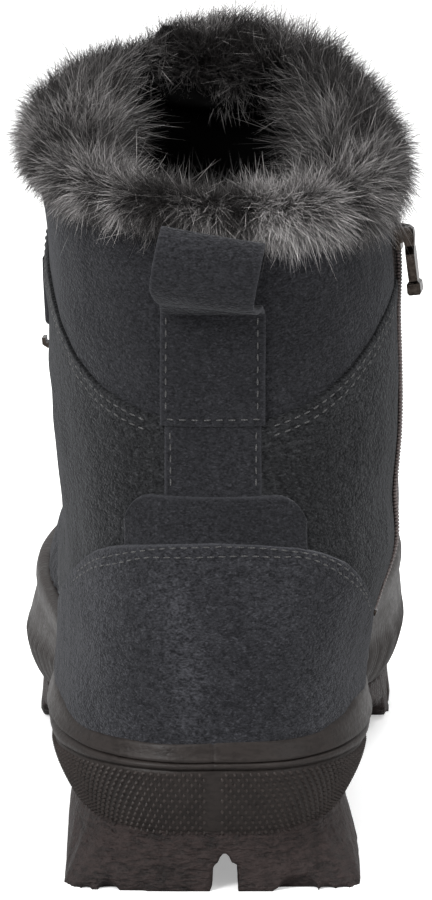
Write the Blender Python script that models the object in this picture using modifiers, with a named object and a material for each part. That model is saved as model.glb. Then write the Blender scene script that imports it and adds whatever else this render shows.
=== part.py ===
"""A winter ankle boot for the left foot: suede upper with a fur cuff, laced front, side zip and rubber sole.

The boot is laid out in millimetres along its own lines: y runs from the rearmost point of the sole (0) to
the toe, x is positive on the medial (big toe) side, and z is the height over the ground. place() turns
these into metres round the middle of the sole, with +Y towards the toe and +Z up.
"""

import math
from collections import namedtuple

import bmesh
import bpy
import numpy as np
from mathutils import Matrix, Vector

MM = 0.001
GAP = 0.3                     # clearance between pieces that touch
SOLE_LENGTH = 272.0           # heel to toe, over the sidewall
MIDDLE_X, MIDDLE_Y = 1.0, 133.3   # middle of the boot, from the heel line and the sole's rearmost point
WALL = 3.2                    # suede with its warm lining
OVERLAY = 1.4                 # suede overlays that stand proud
SIDE_COLUMNS = 30             # columns of faces on each side of the upper
THROAT_COLUMNS = 2            # further columns that cross the front below the throat
MEDIAL, LATERAL = 1, -1

# ---------------------------------------------------------------- the last: sections of the upper

Section = namedtuple(
    "Section",
    "name back_y back_z side_z front_y front_z medial_x medial_y lateral_x lateral_y toe_x"
    " back_power front_power waist_in waist_out tilt",
)
SECTIONS = [
    Section("feather", 6.5, 26, 27, 261, 31.5, 45.8, 190, -43.2, 165, 8, 3, 2.3, 14, 8.5, 0),
    Section("rim", 4, 36, 40.5, 264, 44, 48, 190, -44.6, 161, 8, 3, 2.3, 13.5, 8, 0),
    Section("toe box", 3.2, 50, 51.5, 259.5, 61, 45.5, 174, -41.4, 155, 8, 3, 2.3, 7, 3, 0),
    Section("low vamp", 3.5, 62, 63.5, 248, 74.5, 45, 132, -39, 126, 7, 2.9, 2.1, 2, 0.5, 0),
    Section("high vamp", 4.8, 74, 76.5, 225, 87, 46.2, 92, -36.9, 96, 5, 2.6, 1.95, 0, 0, 0),
    Section("instep", 7, 87, 91, 194, 100, 45.9, 84, -37.7, 88, 3, 2.4, 1.9, 0, 0, 0.1),
    Section("ankle", 8.8, 100, 106, 163, 116, 46.4, 76, -38.7, 80, 2, 2.3, 1.95, 0, 0, 0.3),
    Section("low shaft", 9.6, 115, 121, 144, 133, 45.9, 70, -39.2, 74, 1, 2.25, 2, 0, 0, 0.6),
    Section("shaft", 9.5, 130, 135.5, 133, 149, 45.3, 67, -40, 70, 1, 2.2, 2.1, 0, 0, 1.2),
    Section("high shaft", 9.1, 145, 150.5, 126, 165, 45.2, 65, -40.6, 67, 1, 2.2, 2.2, 0, 0, 1.9),
    Section("collar", 8.6, 161.5, 169, 121, 184, 42.8, 64, -43.6, 66, 0.4, 2.2, 2.3, 0, 0, 2.6),
]
FEATHER, RIM, COLLAR = 0.0, 1.0, float(len(SECTIONS) - 1)
SOLE_EDGE = Section(
    "sole edge", 0.0, 0.0, 0.0, SOLE_LENGTH, 0.0, 52.2, 190.0, -50.8, 168.0, 8.0, 3.0, 2.3, 16.0, 10.5, 0.0
)
TILT_REACH = 45.0             # distance from the middle at which a section's tilt is measured
WAIST_Y = 100.0
WAIST_SPREAD = {MEDIAL: 55.0, LATERAL: 48.0}

THROAT_END = 5.2              # level, counted in sections, where the lacing throat ends over the instep
THROAT_HALF_LOW, THROAT_HALF_HIGH = 9.0, 14.0


def section_at(level):
    """The section at a level between two named ones, on a smooth curve through all of them."""
    last = len(SECTIONS) - 1
    i = min(int(level), last - 1)
    t = level - i
    rows = [np.array(SECTIONS[min(max(k, 0), last)][1:]) for k in (i - 1, i, i + 1, i + 2)]
    if i == 0:
        rows[0] = 2 * rows[1] - rows[2]
    if i == last - 1:
        rows[3] = 2 * rows[2] - rows[1]
    a, b, c, d = rows
    mixed = b + 0.5 * t * (c - a + t * (2 * a - 5 * b + 4 * c - d + t * (3 * (b - c) + d - a)))
    return Section("between", *mixed)


def half_outline(section, side, count=160):
    """Points in plan from heel to toe along one side: two quarters of a superellipse, with a waist."""
    wide_x, wide_y = (
        (section.medial_x, section.medial_y) if side == MEDIAL else (section.lateral_x, section.lateral_y)
    )
    waist = section.waist_in if side == MEDIAL else section.waist_out
    angle = np.linspace(0.0, math.pi / 2, count)
    rise, fall = np.sin(angle), np.clip(np.cos(angle), 0.0, 1.0)
    back, front = 2 / section.back_power, 2 / section.front_power
    rear_x = wide_x * rise**back
    rear_y = wide_y - (wide_y - section.back_y) * fall**back
    fore_x = section.toe_x + (wide_x - section.toe_x) * fall**front
    fore_y = wide_y + (section.front_y - wide_y) * rise**front
    x, y = np.append(rear_x, fore_x[1:]), np.append(rear_y, fore_y[1:])
    share = np.abs(x) / abs(wide_x)
    x = x - side * waist * np.clip(share, 0, 1) * np.exp(-(((y - WAIST_Y) / WAIST_SPREAD[side]) ** 2))
    return x, y


def section_height(section, x, y):
    """Height along a section: through its back, side and front heights, and lower on the medial side."""
    s = (y - section.back_y) / (section.front_y - section.back_y)
    level = (
        section.back_z * (1 - s) * (1 - 2 * s)
        + section.side_z * 4 * s * (1 - s)
        + section.front_z * s * (2 * s - 1)
    )
    return level - section.tilt * x / TILT_REACH


def lengths_along(x, y):
    return np.append(0.0, np.cumsum(np.hypot(np.diff(x), np.diff(y))))


def points_on_side(level, side, shares):
    """Points on the outer face of the upper at these shares of the way from heel to toe."""
    section = section_at(level)
    x, y = half_outline(section, side)
    run = lengths_along(x, y)
    at = np.asarray(shares) * run[-1]
    px, py = np.interp(at, run, x), np.interp(at, run, y)
    return np.column_stack([px, py, section_height(section, px, py)])


def side_length(level, side):
    return lengths_along(*half_outline(section_at(level), side))[-1]


def surface(side, level, share, offset=0.0):
    """A point on the upper, moved out along its normal by offset."""
    step = 0.01
    here = points_on_side(level, side, [share])[0]
    low, high = max(level - step, FEATHER), min(level + step, COLLAR)
    up = points_on_side(high, side, [share])[0] - points_on_side(low, side, [share])[0]
    before, after = points_on_side(level, side, [max(share - step, 0.0), min(share + step, 1.0)])
    if share < step:              # at the heel line the other side is a mirror image
        before = 2 * here - after
        before[1:] = after[1:]
    if share > 1 - step:
        after = 2 * here - before
        after[1:] = before[1:]
    normal = np.cross(after - before, up) * side
    normal /= np.linalg.norm(normal)
    return Vector(here + normal * offset)


def normal_at(side, level, share):
    return (surface(side, level, share, 1.0) - surface(side, level, share)).normalized()


def spread(count):
    """Shares from 0 to 1, closer together at both ends, where the heel and the toe curve most."""
    return [t - 0.4 * math.sin(2 * math.pi * t) / (2 * math.pi) for t in np.linspace(0.0, 1.0, count + 1)]


def level_at(side, distance, height, from_front=False):
    """(level, share) of the point at this height and this distance round the upper from the heel line
    or, with from_front, from the middle of the front."""
    low, high = FEATHER, COLLAR
    for _ in range(24):
        level = (low + high) / 2
        whole = side_length(level, side)
        share = min(max((1 - distance / whole) if from_front else distance / whole, 0.0), 1.0)
        if points_on_side(level, side, [share])[0][2] < height:
            low = level
        else:
            high = level
    return level, share


def on_upper(x_round, height, offset):
    """A point by its distance round from the heel line, medial positive, and its height."""
    side = MEDIAL if x_round >= 0 else LATERAL
    level, share = level_at(side, abs(x_round), height)
    return surface(side, level, share, offset)


def place(point):
    """From the boot's own millimetres to metres round the middle of the sole."""
    return Vector(((point[0] - MIDDLE_X) * MM, (point[1] - MIDDLE_Y) * MM, point[2] * MM))


# ---------------------------------------------------------------- scene, materials and small makers


def clear_scene():
    for obj in list(bpy.data.objects):
        bpy.data.objects.remove(obj)


def collection(name):
    made = bpy.data.collections.new(name)
    bpy.context.scene.collection.children.link(made)
    return made


def material(name, colour, roughness, metallic=0.0):
    made = bpy.data.materials.new(name)
    made.use_nodes = True
    shader = made.node_tree.nodes["Principled BSDF"]
    shader.inputs["Base Color"].default_value = (*colour, 1.0)
    shader.inputs["Roughness"].default_value = roughness
    shader.inputs["Metallic"].default_value = metallic
    return made


def new_object(name, mesh_maker, finish, group):
    """An object whose mesh comes from a bmesh, with its normals facing out."""
    mesh = bpy.data.meshes.new(name)
    bmesh.ops.recalc_face_normals(mesh_maker, faces=mesh_maker.faces)
    mesh_maker.to_mesh(mesh)
    mesh_maker.free()
    obj = bpy.data.objects.new(name, mesh)
    if finish:
        mesh.materials.append(finish)
    group.objects.link(obj)
    return obj


def add_rows(maker, rows, closed=False):
    """Vertices for each row of points, bridged by quads. Returns the rows of vertices."""
    made = [[maker.verts.new(place(p)) for p in row] for row in rows]
    for lower, upper in zip(made, made[1:]):
        count = len(lower)
        for k in range(count if closed else count - 1):
            n = (k + 1) % count
            maker.faces.new((lower[k], lower[n], upper[n], upper[k]))
    return made


def ladder(maker, ring):
    """Closes a ring that runs heel, medial, toe, lateral with rungs from side to side."""
    half = len(ring) // 2
    maker.faces.new((ring[0], ring[1], ring[-1]))
    for k in range(1, half - 1):
        maker.faces.new((ring[k], ring[k + 1], ring[-k - 1], ring[-k]))
    maker.faces.new((ring[half - 1], ring[half], ring[half + 1]))


def ribbon(name, rows, thickness, finish, group, outward=1.0):
    """A strap or overlay: an open surface through rows of points, thickened to one side."""
    maker = bmesh.new()
    add_rows(maker, rows)
    mesh_object = new_object(name, maker, finish, group)
    thicken = mesh_object.modifiers.new("thickness", "SOLIDIFY")
    thicken.thickness = thickness * MM
    thicken.offset = outward
    thicken.use_even_offset = True
    return mesh_object


def tube(name, points, radius, finish, group, sides=2):
    """A round bar or cord along points, with closed ends."""
    data = bpy.data.curves.new(name, "CURVE")
    data.dimensions = "3D"
    data.bevel_depth = radius * MM
    data.bevel_resolution = sides
    data.use_fill_caps = True
    spline = data.splines.new("POLY")
    spline.points.add(len(points) - 1)
    for target, point in zip(spline.points, points):
        target.co = (*place(point), 1.0)
    obj = bpy.data.objects.new(name, data)
    if finish:
        data.materials.append(finish)
    group.objects.link(obj)
    return obj


def as_mesh(obj, group):
    """A curve object turned into a mesh object with welded caps, ready for a Boolean."""
    graph = bpy.context.evaluated_depsgraph_get()
    graph.update()
    mesh = bpy.data.meshes.new_from_object(obj.evaluated_get(graph))
    maker = bmesh.new()
    maker.from_mesh(mesh)
    bmesh.ops.remove_doubles(maker, verts=maker.verts, dist=0.00001)
    bmesh.ops.recalc_face_normals(maker, faces=maker.faces)
    maker.to_mesh(mesh)
    maker.free()
    name = obj.name
    bpy.data.objects.remove(obj)
    made = bpy.data.objects.new(name, mesh)
    group.objects.link(made)
    return made


def boolean(obj, other, operation):
    """obj cut by, or joined with, other, which becomes a hidden helper."""
    modifier = obj.modifiers.new(f"{operation.lower()} {other.name}", "BOOLEAN")
    modifier.operation = operation
    modifier.object = other
    other.hide_render = True
    other.display_type = "WIRE"


def prism_maker(outline, low, high, axis):
    """A flat outline swept along an axis: x takes (y, z) pairs, and z takes (x, y) pairs."""
    maker = bmesh.new()
    if axis == "x":
        corners = [(low, a, b) for a, b in outline]
        travel = Vector((high - low, 0, 0))
    else:
        corners = [(a, b, low) for a, b in outline]
        travel = Vector((0, 0, high - low))
    face = maker.faces.new([maker.verts.new(place(c)) for c in corners])
    moved = bmesh.ops.extrude_face_region(maker, geom=[face])["geom"]
    far_end = [v for v in moved if isinstance(v, bmesh.types.BMVert)]
    bmesh.ops.translate(maker, vec=travel * MM, verts=far_end)
    return maker


def smooth_step(value, low, high):
    t = min(max((value - low) / (high - low), 0.0), 1.0)
    return t * t * (3 - 2 * t)


# ---------------------------------------------------------------- upper


def throat_half(level):
    """Half the width of the lacing throat at a level, with a rounded lower end."""
    rise = min((level - THROAT_END) / (COLLAR - THROAT_END), 1.0)
    width = THROAT_HALF_LOW + (THROAT_HALF_HIGH - THROAT_HALF_LOW) * max(rise, 0.0)
    round_end = min(max((level - THROAT_END) / 0.35, 0.0), 1.0)
    return width * (0.72 + 0.28 * math.sqrt(round_end))


def edge_share(level, side):
    return 1.0 - throat_half(max(level, THROAT_END)) / side_length(level, side)


def upper_levels():
    """Levels of the upper's rings, closer together over the toe box and at the throat's end."""
    below = [0.0, 0.5, 1.0, 1.45, 1.9, 2.35, 2.8, 3.25, 3.7, 4.15, 4.6]
    return below + [THROAT_END, THROAT_END + 0.35, 6.1, 6.7, 7.3, 7.9, 8.5, 9.1, 9.6, COLLAR]


def ring_of_upper(level, offset=0.0):
    """One ring of points: heel, medial side, toe, lateral side."""
    ring = []
    for side in (MEDIAL, LATERAL):
        edge = edge_share(level, side)
        shares = [edge * s for s in spread(SIDE_COLUMNS)]
        shares += [edge + (1 - edge) * k / THROAT_COLUMNS for k in range(1, THROAT_COLUMNS + 1)]
        points = [surface(side, level, share, offset) for share in shares]
        ring += points if side == MEDIAL else points[-2:0:-1]
    return ring


def make_upper(finish, group, cutters):
    maker = bmesh.new()
    levels = upper_levels()
    rows = add_rows(maker, [ring_of_upper(level) for level in levels], closed=True)
    crossing = range(SIDE_COLUMNS, SIDE_COLUMNS + 2 * THROAT_COLUMNS)
    inner = range(SIDE_COLUMNS + 1, SIDE_COLUMNS + 2 * THROAT_COLUMNS)
    open_faces = []
    for k, level in enumerate(levels[:-1]):
        if level >= THROAT_END:
            for c in crossing:
                corners = {rows[k][c], rows[k][c + 1], rows[k + 1][c], rows[k + 1][c + 1]}
                open_faces += [f for f in rows[k][c].link_faces if set(f.verts) == corners]
    bmesh.ops.delete(maker, geom=open_faces, context="FACES_ONLY")
    loose = [rows[k][c] for k, level in enumerate(levels) if level > THROAT_END for c in inner]
    bmesh.ops.delete(maker, geom=loose, context="VERTS")
    upper = new_object("upper", maker, finish, group)
    thicken = upper.modifiers.new("wall", "SOLIDIFY")
    thicken.thickness = WALL * MM
    thicken.offset = -1.0
    thicken.use_even_offset = True
    boolean(upper, zip_cutter(cutters), "DIFFERENCE")
    return upper


# ---------------------------------------------------------------- side zip

ZIP_HALF = 4.0                # half the width of the zip's tape that shows
ZIP_DEPTH = 2.1               # how deep the zip lies under the suede's face
ZIP_LOW, ZIP_TOP = 55.0, 157.0
ZIP_ROWS = 15
# height and y of the zip's middle line on the medial side
ZIP_LINE = [(52.0, 54.0), (60.0, 54.0), (72.0, 54.5), (88.0, 55.0), (110.0, 55.5), (135.0, 54.0), (200, 52.0)]


def find_on(side, y, height):
    """(level, share) of the point of the rear half of the upper at this y and height."""
    distance = y
    for _ in range(12):
        level, share = level_at(side, distance, height)
        distance += y - points_on_side(level, side, [share])[0][1]
    return level, share


def zip_level(height):
    """(level, share) on the zip's middle line at a height."""
    y = float(np.interp(height, [h for h, _ in ZIP_LINE], [y for _, y in ZIP_LINE]))
    return find_on(MEDIAL, y, height)


def zip_section(height, profile):
    """Points across the zip at a height, from (distance across, offset) pairs."""
    level, share = zip_level(height)
    whole = side_length(level, MEDIAL)
    middle = surface(MEDIAL, level, share)
    normal = normal_at(MEDIAL, level, share)
    ahead, behind = surface(MEDIAL, level, share + 2 / whole), surface(MEDIAL, level, share - 2 / whole)
    across = (ahead - behind).normalized()
    return [middle + across * a + normal * n for a, n in profile]


def closed_sweep(name, sections, finish, group):
    """A solid through closed sections that all have the same number of points."""
    maker = bmesh.new()
    rows = add_rows(maker, sections, closed=True)
    maker.faces.new(rows[0])
    maker.faces.new(rows[-1])
    return new_object(name, maker, finish, group)


def zip_heights(low, high):
    return np.linspace(low, high, ZIP_ROWS)


def zip_cutter(cutters):
    half = ZIP_HALF + GAP
    profile = [(-half, -ZIP_DEPTH), (half, -ZIP_DEPTH), (half, 3.0), (-half, 3.0)]
    sections = [zip_section(h, profile) for h in zip_heights(ZIP_LOW - GAP, ZIP_TOP + GAP)]
    return closed_sweep("zip_well", sections, None, cutters)


def make_zip(finish, group):
    """Tape with the coil standing up along its middle."""
    tape, coil, deep = -0.9, 0.1, -ZIP_DEPTH + GAP
    profile = [
        (-ZIP_HALF, deep), (ZIP_HALF, deep), (ZIP_HALF, tape), (1.7, tape), (1.2, coil), (-1.2, coil),
        (-1.7, tape), (-ZIP_HALF, tape),
    ]
    sections = [zip_section(h, profile) for h in zip_heights(ZIP_LOW, ZIP_TOP)]
    return closed_sweep("zip_tape", sections, finish, group)


SLIDER_HEIGHT = 152.0         # middle of the slider, closed at the top under the fur
PIVOT_OUT, PIVOT_UP = 3.6, -0.4    # the pull tab's pin: over the suede's face, and over the slider's middle
PIN_RADIUS, EYE_RADIUS = 0.6, 0.95
EAR_IN, EAR_OUT = 2.0, 2.9


def zip_frame():
    """(point on the suede, across towards the toe, up, out) at the slider."""
    level, share = zip_level(SLIDER_HEIGHT)
    out = normal_at(MEDIAL, level, share)
    across = Vector((0, 0, 1)).cross(out).normalized()
    return surface(MEDIAL, level, share), across, out.cross(across).normalized(), out


def bar_helper(name, start, end, radius):
    """A round bar between two points, kept as a hidden helper for a Boolean."""
    return as_mesh(tube(name, [start, end], radius, None, helpers()), helpers())


def make_slider(finish, group):
    """Wedge-shaped body over the coil, with two ears and the pin that the pull tab hangs on."""
    middle, across, up, out = zip_frame()
    plan = [(-3.3, 3.8), (3.3, 3.8), (3.6, 1.2), (2.5, -4.2), (-2.5, -4.2), (-3.6, 1.2)]
    sections = [[middle + across * a + up * b + out * n for a, b in plan] for n in (0.45, 1.6)]
    body = closed_sweep("zip_slider", sections, finish, group)
    ear = [(-2.3, 1.0), (2.3, 1.0), (1.5, 3.9), (0.7, 4.7), (-0.7, 4.7), (-1.5, 3.9)]
    for side in (-1, 1):
        flat = [[middle + across * (side * a) + up * (PIVOT_UP + b) + out * n for b, n in ear]
                for a in (EAR_IN, EAR_OUT)]
        boolean(body, closed_sweep(f"slider_ear_{side}", flat, None, helpers()), "UNION")
    pivot = middle + out * PIVOT_OUT + up * PIVOT_UP
    reach = (EAR_IN + EAR_OUT) / 2
    pin = bar_helper("slider_pin", pivot - across * reach, pivot + across * reach, PIN_RADIUS)
    boolean(body, pin, "UNION")
    return body


PULL_LENGTH = 15.2
PULL_LEAN = 7.0               # degrees that the tab hangs out from the upright at rest
# distance down the tab, half width, half thickness
PULL_BLADE = [
    (-1.5, 0.9, 0.7), (-0.9, 1.6, 1.35), (0.9, 1.6, 1.45), (3.2, 1.6, 1.15), (5.0, 2.9, 1.1),
    (8.4, 2.8, 1.1), (11.8, 2.3, 1.1), (12.4, 3.0, 1.65), (14.5, 3.1, 1.7), (PULL_LENGTH, 2.6, 1.3),
]


def make_pull(finish, group):
    """Tab with a waisted blade and a thick end, hung by its eye on the slider's pin, where its origin is."""
    middle, across, up, out = zip_frame()
    pivot = middle + out * PIVOT_OUT + up * PIVOT_UP
    lean = math.radians(PULL_LEAN)
    level_out = Vector((out.x, out.y, 0)).normalized()
    down = (Vector((0, 0, -math.cos(lean))) + level_out * math.sin(lean)).normalized()
    thick = across.cross(down).normalized()
    sections = []
    for along, half, deep in PULL_BLADE:
        corners = [(-half, -deep), (half, -deep), (half, deep), (-half, deep)]
        sections.append([pivot + down * along + across * a + thick * t for a, t in corners])
    tab = closed_sweep("zip_pull", sections, finish, group)
    eye = bar_helper("pull_eye", pivot - across * 5.0, pivot + across * 5.0, EYE_RADIUS)
    boolean(tab, eye, "DIFFERENCE")
    tab.data.transform(Matrix.Translation(-place(pivot)))
    tab.location = place(pivot)
    return tab


# ---------------------------------------------------------------- heel counter, backstay and pull loop

COUNTER_TAB_HALF, COUNTER_TAB_TOP, COUNTER_TAB_CORNER = 22.0, 96.0, 8.0
# the counter's upper edge beyond the tab: distance round from the heel line, and height
COUNTER_EDGE = [
    (22.0, 84.5), (28.5, 82.3), (34.5, 78.8), (41.0, 73.8), (47.5, 68.0), (53.5, 61.2), (58.5, 53.6),
    (62.0, 45.0),
]
STRIP_HALF = 12.6
STRIP_LOW, STRIP_HIGH = COUNTER_TAB_TOP + 0.7, 140.0


def counter_top(distance):
    """Height of the counter's upper edge at a distance round from the heel line."""
    if distance < COUNTER_TAB_HALF:
        over = max(distance - (COUNTER_TAB_HALF - COUNTER_TAB_CORNER), 0.0)
        return COUNTER_TAB_TOP - (COUNTER_TAB_CORNER - math.sqrt(COUNTER_TAB_CORNER**2 - over**2))
    return float(np.interp(distance, [d for d, _ in COUNTER_EDGE], [z for _, z in COUNTER_EDGE]))


def make_counter(finish, group):
    """Suede over the heel, with a tab that runs up under the backstay."""
    stops = [0.0, 5.0, 10.0, 14.5, 18.0, 20.6, 21.9, 22.6] + [d for d, _ in COUNTER_EDGE[1:]]
    rows = []
    for share in np.linspace(0.0, 1.0, 9):
        row = []
        for distance in [-d for d in stops[:0:-1]] + stops:
            side = MEDIAL if distance >= 0 else LATERAL
            foot = surface(side, RIM, abs(distance) / side_length(RIM, side)).z + GAP + 0.4
            top = counter_top(abs(distance))
            row.append(on_upper(distance, foot + (top - foot) * share, GAP))
        rows.append(row)
    return ribbon("heel_counter", rows, OVERLAY, finish, group, outward=1.0)


LoopPoint = namedtuple("LoopPoint", "x y z slant")
# middle of the strap where it leaves the heel line: out, over, and back down to the shaft under the fur
LOOP_LINE = [
    LoopPoint(-0.4, 5.2, 142.2, 3.0),
    LoopPoint(-1.6, 0.6, 143.0, 8.0),
    LoopPoint(-2.6, -2.8, 145.4, 11.0),
    LoopPoint(-2.2, -4.8, 149.4, 12.0),
    LoopPoint(-1.4, -5.2, 153.8, 12.0),
    LoopPoint(-0.6, -4.4, 157.6, 11.0),
    LoopPoint(0.0, -2.3, 159.6, 10.0),
    LoopPoint(-0.2, 0.2, 158.8, 9.0),
    LoopPoint(-0.6, 2.4, 156.0, 7.0),
    LoopPoint(-1.0, 5.4, 154.0, 5.0),
    LoopPoint(-1.2, 7.4, 151.6, 3.0),
]
LOOP_THICKNESS = 1.5


def make_pull_loop(finish, group):
    """The backstay and the finger loop above it, one strap of suede."""
    across = np.linspace(-1.0, 1.0, 7)
    rows = [[on_upper(a * STRIP_HALF, h, GAP + LOOP_THICKNESS / 2) for a in across]
            for h in np.linspace(STRIP_LOW, STRIP_HIGH, 8)]
    for x, y, z, slant in LOOP_LINE:
        fall = math.tan(math.radians(slant))
        row = [Vector((x + a * STRIP_HALF, y + 1.2 * a * a, z - a * STRIP_HALF * fall)) for a in across]
        rows.append(row)
    rows.append([on_upper(a * STRIP_HALF - 1.2, 149.0 - a, GAP + LOOP_THICKNESS / 2) for a in across])
    return ribbon("pull_loop", rows, LOOP_THICKNESS, finish, group, outward=0.0)


# ---------------------------------------------------------------- side tab with its hook

TAB_Y, TAB_HALF = 82.0, 8.0   # middle and half width of the tab on the lateral side
TAB_LOW, TAB_HIGH = 124.5, 140.0


def tab_point(y, height, offset):
    level, share = find_on(LATERAL, y, height)
    return surface(LATERAL, level, share, offset)


def make_side_tab(finish, group):
    """Suede tab on the lateral side, rounded at its lower end."""
    rows = []
    for height in (TAB_LOW, TAB_LOW + 0.8, TAB_LOW + 3.0, TAB_LOW + 7.0, TAB_HIGH):
        half = TAB_HALF * math.sqrt(min(1.0, 0.45 + (height - TAB_LOW) / 5.0))
        rows.append([tab_point(TAB_Y + a * half, height, GAP) for a in np.linspace(1, -1, 5)])
    return ribbon("side_tab", rows, OVERLAY + 0.3, finish, group)


def make_side_hook(finish, group):
    """Flat hook below the tab, its free end curled out and up."""
    line = [(-0.4, 0.9), (-3.0, 0.9), (-4.6, 1.2), (-5.4, 2.1), (-4.8, 3.0), (-3.4, 3.1)]
    level, share = find_on(LATERAL, TAB_Y, TAB_LOW)
    point, out = surface(LATERAL, level, share), normal_at(LATERAL, level, share)
    along = Vector((0, 0, 1)).cross(out).normalized()
    up = out.cross(along).normalized()
    rows = [[point + up * b + out * n + along * w for w in (-2.4, 2.4)] for b, n in line]
    return ribbon("side_hook", rows, 0.9, finish, group, outward=0.0)


# ---------------------------------------------------------------- fur cuff and tongue

# the cuff's section: offset out from the suede, and height over the collar's edge, except for the lower
# end of the outside, whose heights count from the cuff's own lower edge
CUFF_OUTSIDE = [(3.0, 0.0), (5.2, 2.8)]
CUFF_OVER = [
    (5.4, 0.4), (4.0, 4.4), (1.2, 7.0), (-3.0, 7.6), (-7.4, 6.2), (-10.4, 2.4), (-9.8, -2.8), (-6.6, -5.2),
]
CUFF_UNDER = [(-WALL - 0.8, -3.6), (-WALL - 0.8, 0.8), (0.6, 0.8)]
CUFF_DROP_BACK, CUFF_DROP_SIDE = 5.0, 7.6
CUFF_DROP_MORE = 0.8          # further on the medial side, and less on the lateral
SECTION_RISE = 17.5           # height between the last two sections, by which the skirt follows the shaft


def cuff_lean(side, share):
    """How full the cuff is over the collar: it thins towards the throat, most on the lateral side."""
    if side == LATERAL:
        return 1.0 - 0.42 * smooth_step(share, 0.42, 0.74)
    return 1.0 - 0.14 * smooth_step(share, 0.5, 0.8)


def cuff_section_at(side, share):
    out = normal_at(side, COLLAR, share)
    out.z = 0.0
    out.normalize()
    swell = math.sin(math.pi * min(share, 0.9))
    drop = CUFF_DROP_BACK + (CUFF_DROP_SIDE - CUFF_DROP_BACK + CUFF_DROP_MORE * side) * swell
    lean = cuff_lean(side, share)
    over = [(max(o, 0.0) * lean + min(o, 0.0), max(h, 0.0) * lean + min(h, 0.0)) for o, h in CUFF_OVER]
    outside = [(o * (0.5 + 0.5 * lean), h - drop) for o, h in CUFF_OUTSIDE]
    profile = [(0.6, 0.8 - drop)] + outside + over + CUFF_UNDER
    edge_height = surface(side, COLLAR, share).z
    points = []
    for offset, height in profile:
        base = surface(side, COLLAR + min(height, 0.0) / SECTION_RISE, share)
        points.append(Vector((base.x, base.y, edge_height + height)) + out * offset)
    return points


def make_cuff(finish, group):
    """Fur cuff folded over the collar's edge, open at the throat."""
    shares = {}
    for side in (MEDIAL, LATERAL):
        edge = edge_share(COLLAR, side) - 1.0 / side_length(COLLAR, side)
        shares[side] = [edge * s for s in spread(SIDE_COLUMNS)]
    sections = [cuff_section_at(LATERAL, s) for s in shares[LATERAL][:0:-1]]
    sections += [cuff_section_at(MEDIAL, s) for s in shares[MEDIAL]]
    return closed_sweep("fur_cuff", sections, finish, group)


TONGUE_THICKNESS = 3.6
TONGUE_OFFSET = -WALL - GAP - 0.5
TONGUE_LOW, TONGUE_HIGH = 91.0, 178.3
TONGUE_HALF_LOW, TONGUE_HALF_HIGH = 17.0, 27.0
ABOVE_COLLAR = 300.0          # a height over the collar, where every point lies on its edge


def front_point(x_round, height, offset):
    """A point by its distance round from the middle of the front, medial positive, and its height."""
    side = MEDIAL if x_round >= 0 else LATERAL
    level, share = level_at(side, abs(x_round), height, from_front=True)
    return surface(side, level, share, offset)


def make_tongue(finish, group):
    """Padded tongue behind the throat."""
    rows = []
    for share in np.linspace(0.0, 1.0, 13):
        half = TONGUE_HALF_LOW + (TONGUE_HALF_HIGH - TONGUE_HALF_LOW) * share
        row = []
        for a in np.linspace(-1, 1, 9):
            height = TONGUE_LOW + (TONGUE_HIGH - 3.0 * a * a - 1.5 * a - TONGUE_LOW) * share
            row.append(front_point(a * half, height, TONGUE_OFFSET))
        rows.append(row)
    return ribbon("tongue", rows, TONGUE_THICKNESS, finish, group, outward=-1.0)


def make_tongue_fur(finish, group):
    """Roll of fur on the tongue's upper edge, which fills the cuff's gap."""
    half = THROAT_HALF_HIGH - 2.2
    profile = [
        (-2.0, -7.4), (3.0, -6.4), (5.4, -2.0), (5.8, 2.4), (4.0, 6.2), (0.0, 8.0), (-4.6, 7.6), (-8.0, 5.0),
        (-9.2, -1.0), (-8.0, -7.6),
    ]
    sections = []
    for a in np.linspace(-1, 1, 7):
        edge = front_point(a * half, ABOVE_COLLAR, 0.0)
        out = Vector((0.25 * a, 1.0, 0.0)).normalized()
        puff = 1.0 - 0.12 * a * a
        sections.append([edge + out * (o * puff) + Vector((0, 0, h * puff + 0.8)) for o, h in profile])
    return closed_sweep("tongue_fur", sections, finish, group)


# ---------------------------------------------------------------- lacing

HARDWARE_ROWS = [106.0, 120.0, 134.5, 149.0, 163.5]     # heights of the loops and hooks
HARDWARE_IN = 7.0             # from the throat's edge to the middle of each base
LACE_RADIUS = 2.0


def hardware_frame(side, height):
    """(point, away from the throat, up, out) where a hook or loop sits."""
    level, _ = level_at(side, THROAT_HALF_HIGH, height, from_front=True)
    distance = throat_half(level) + HARDWARE_IN
    level, share = level_at(side, distance, height, from_front=True)
    point, out = surface(side, level, share), normal_at(side, level, share)
    back = surface(side, level, share - 3.0 / side_length(level, side))
    away = (back - point).normalized()
    up = away.cross(out) * side
    return point, away, up.normalized(), out


def strap_hook(name, frame, finish, group):
    """A flat strip of metal that lies on the suede and curls over towards the open side."""
    point, away, up, out = frame
    line = [(-3.6, 0.9), (0.0, 0.9), (2.6, 1.1), (4.4, 2.1), (5.0, 3.8), (4.3, 5.4), (2.4, 6.1), (0.4, 6.0)]
    rows = [[point + away * -a + out * n + up * w for w in (-2.1, 2.1)] for a, n in line]
    return ribbon(name, rows, 1.1, finish, group, outward=0.0)


def ring_loop(name, frame, finish, group):
    """A lace loop: a bent wire that stands off the suede, on a small plate."""
    point, away, up, out = frame
    turn = np.linspace(0.0, math.pi, 9)
    line = [point + up * (3.6 * math.cos(t)) + out * (1.6 + 4.0 * math.sin(t)) for t in turn]
    line = [point + up * 3.6 + out * 1.0] + line[1:-1] + [point - up * 3.6 + out * 1.0]
    wire = as_mesh(tube(name + "_wire", line, 0.9, finish, group), helpers())
    plate = [(-2.4, -5.4), (2.4, -5.4), (2.4, 5.4), (-2.4, 5.4)]
    base = closed_sweep(name, [[point + away * a + up * b + out * n for a, b in plate] for n in (0.7, 1.7)],
                        finish, group)
    boolean(base, wire, "UNION")
    return base


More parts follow.
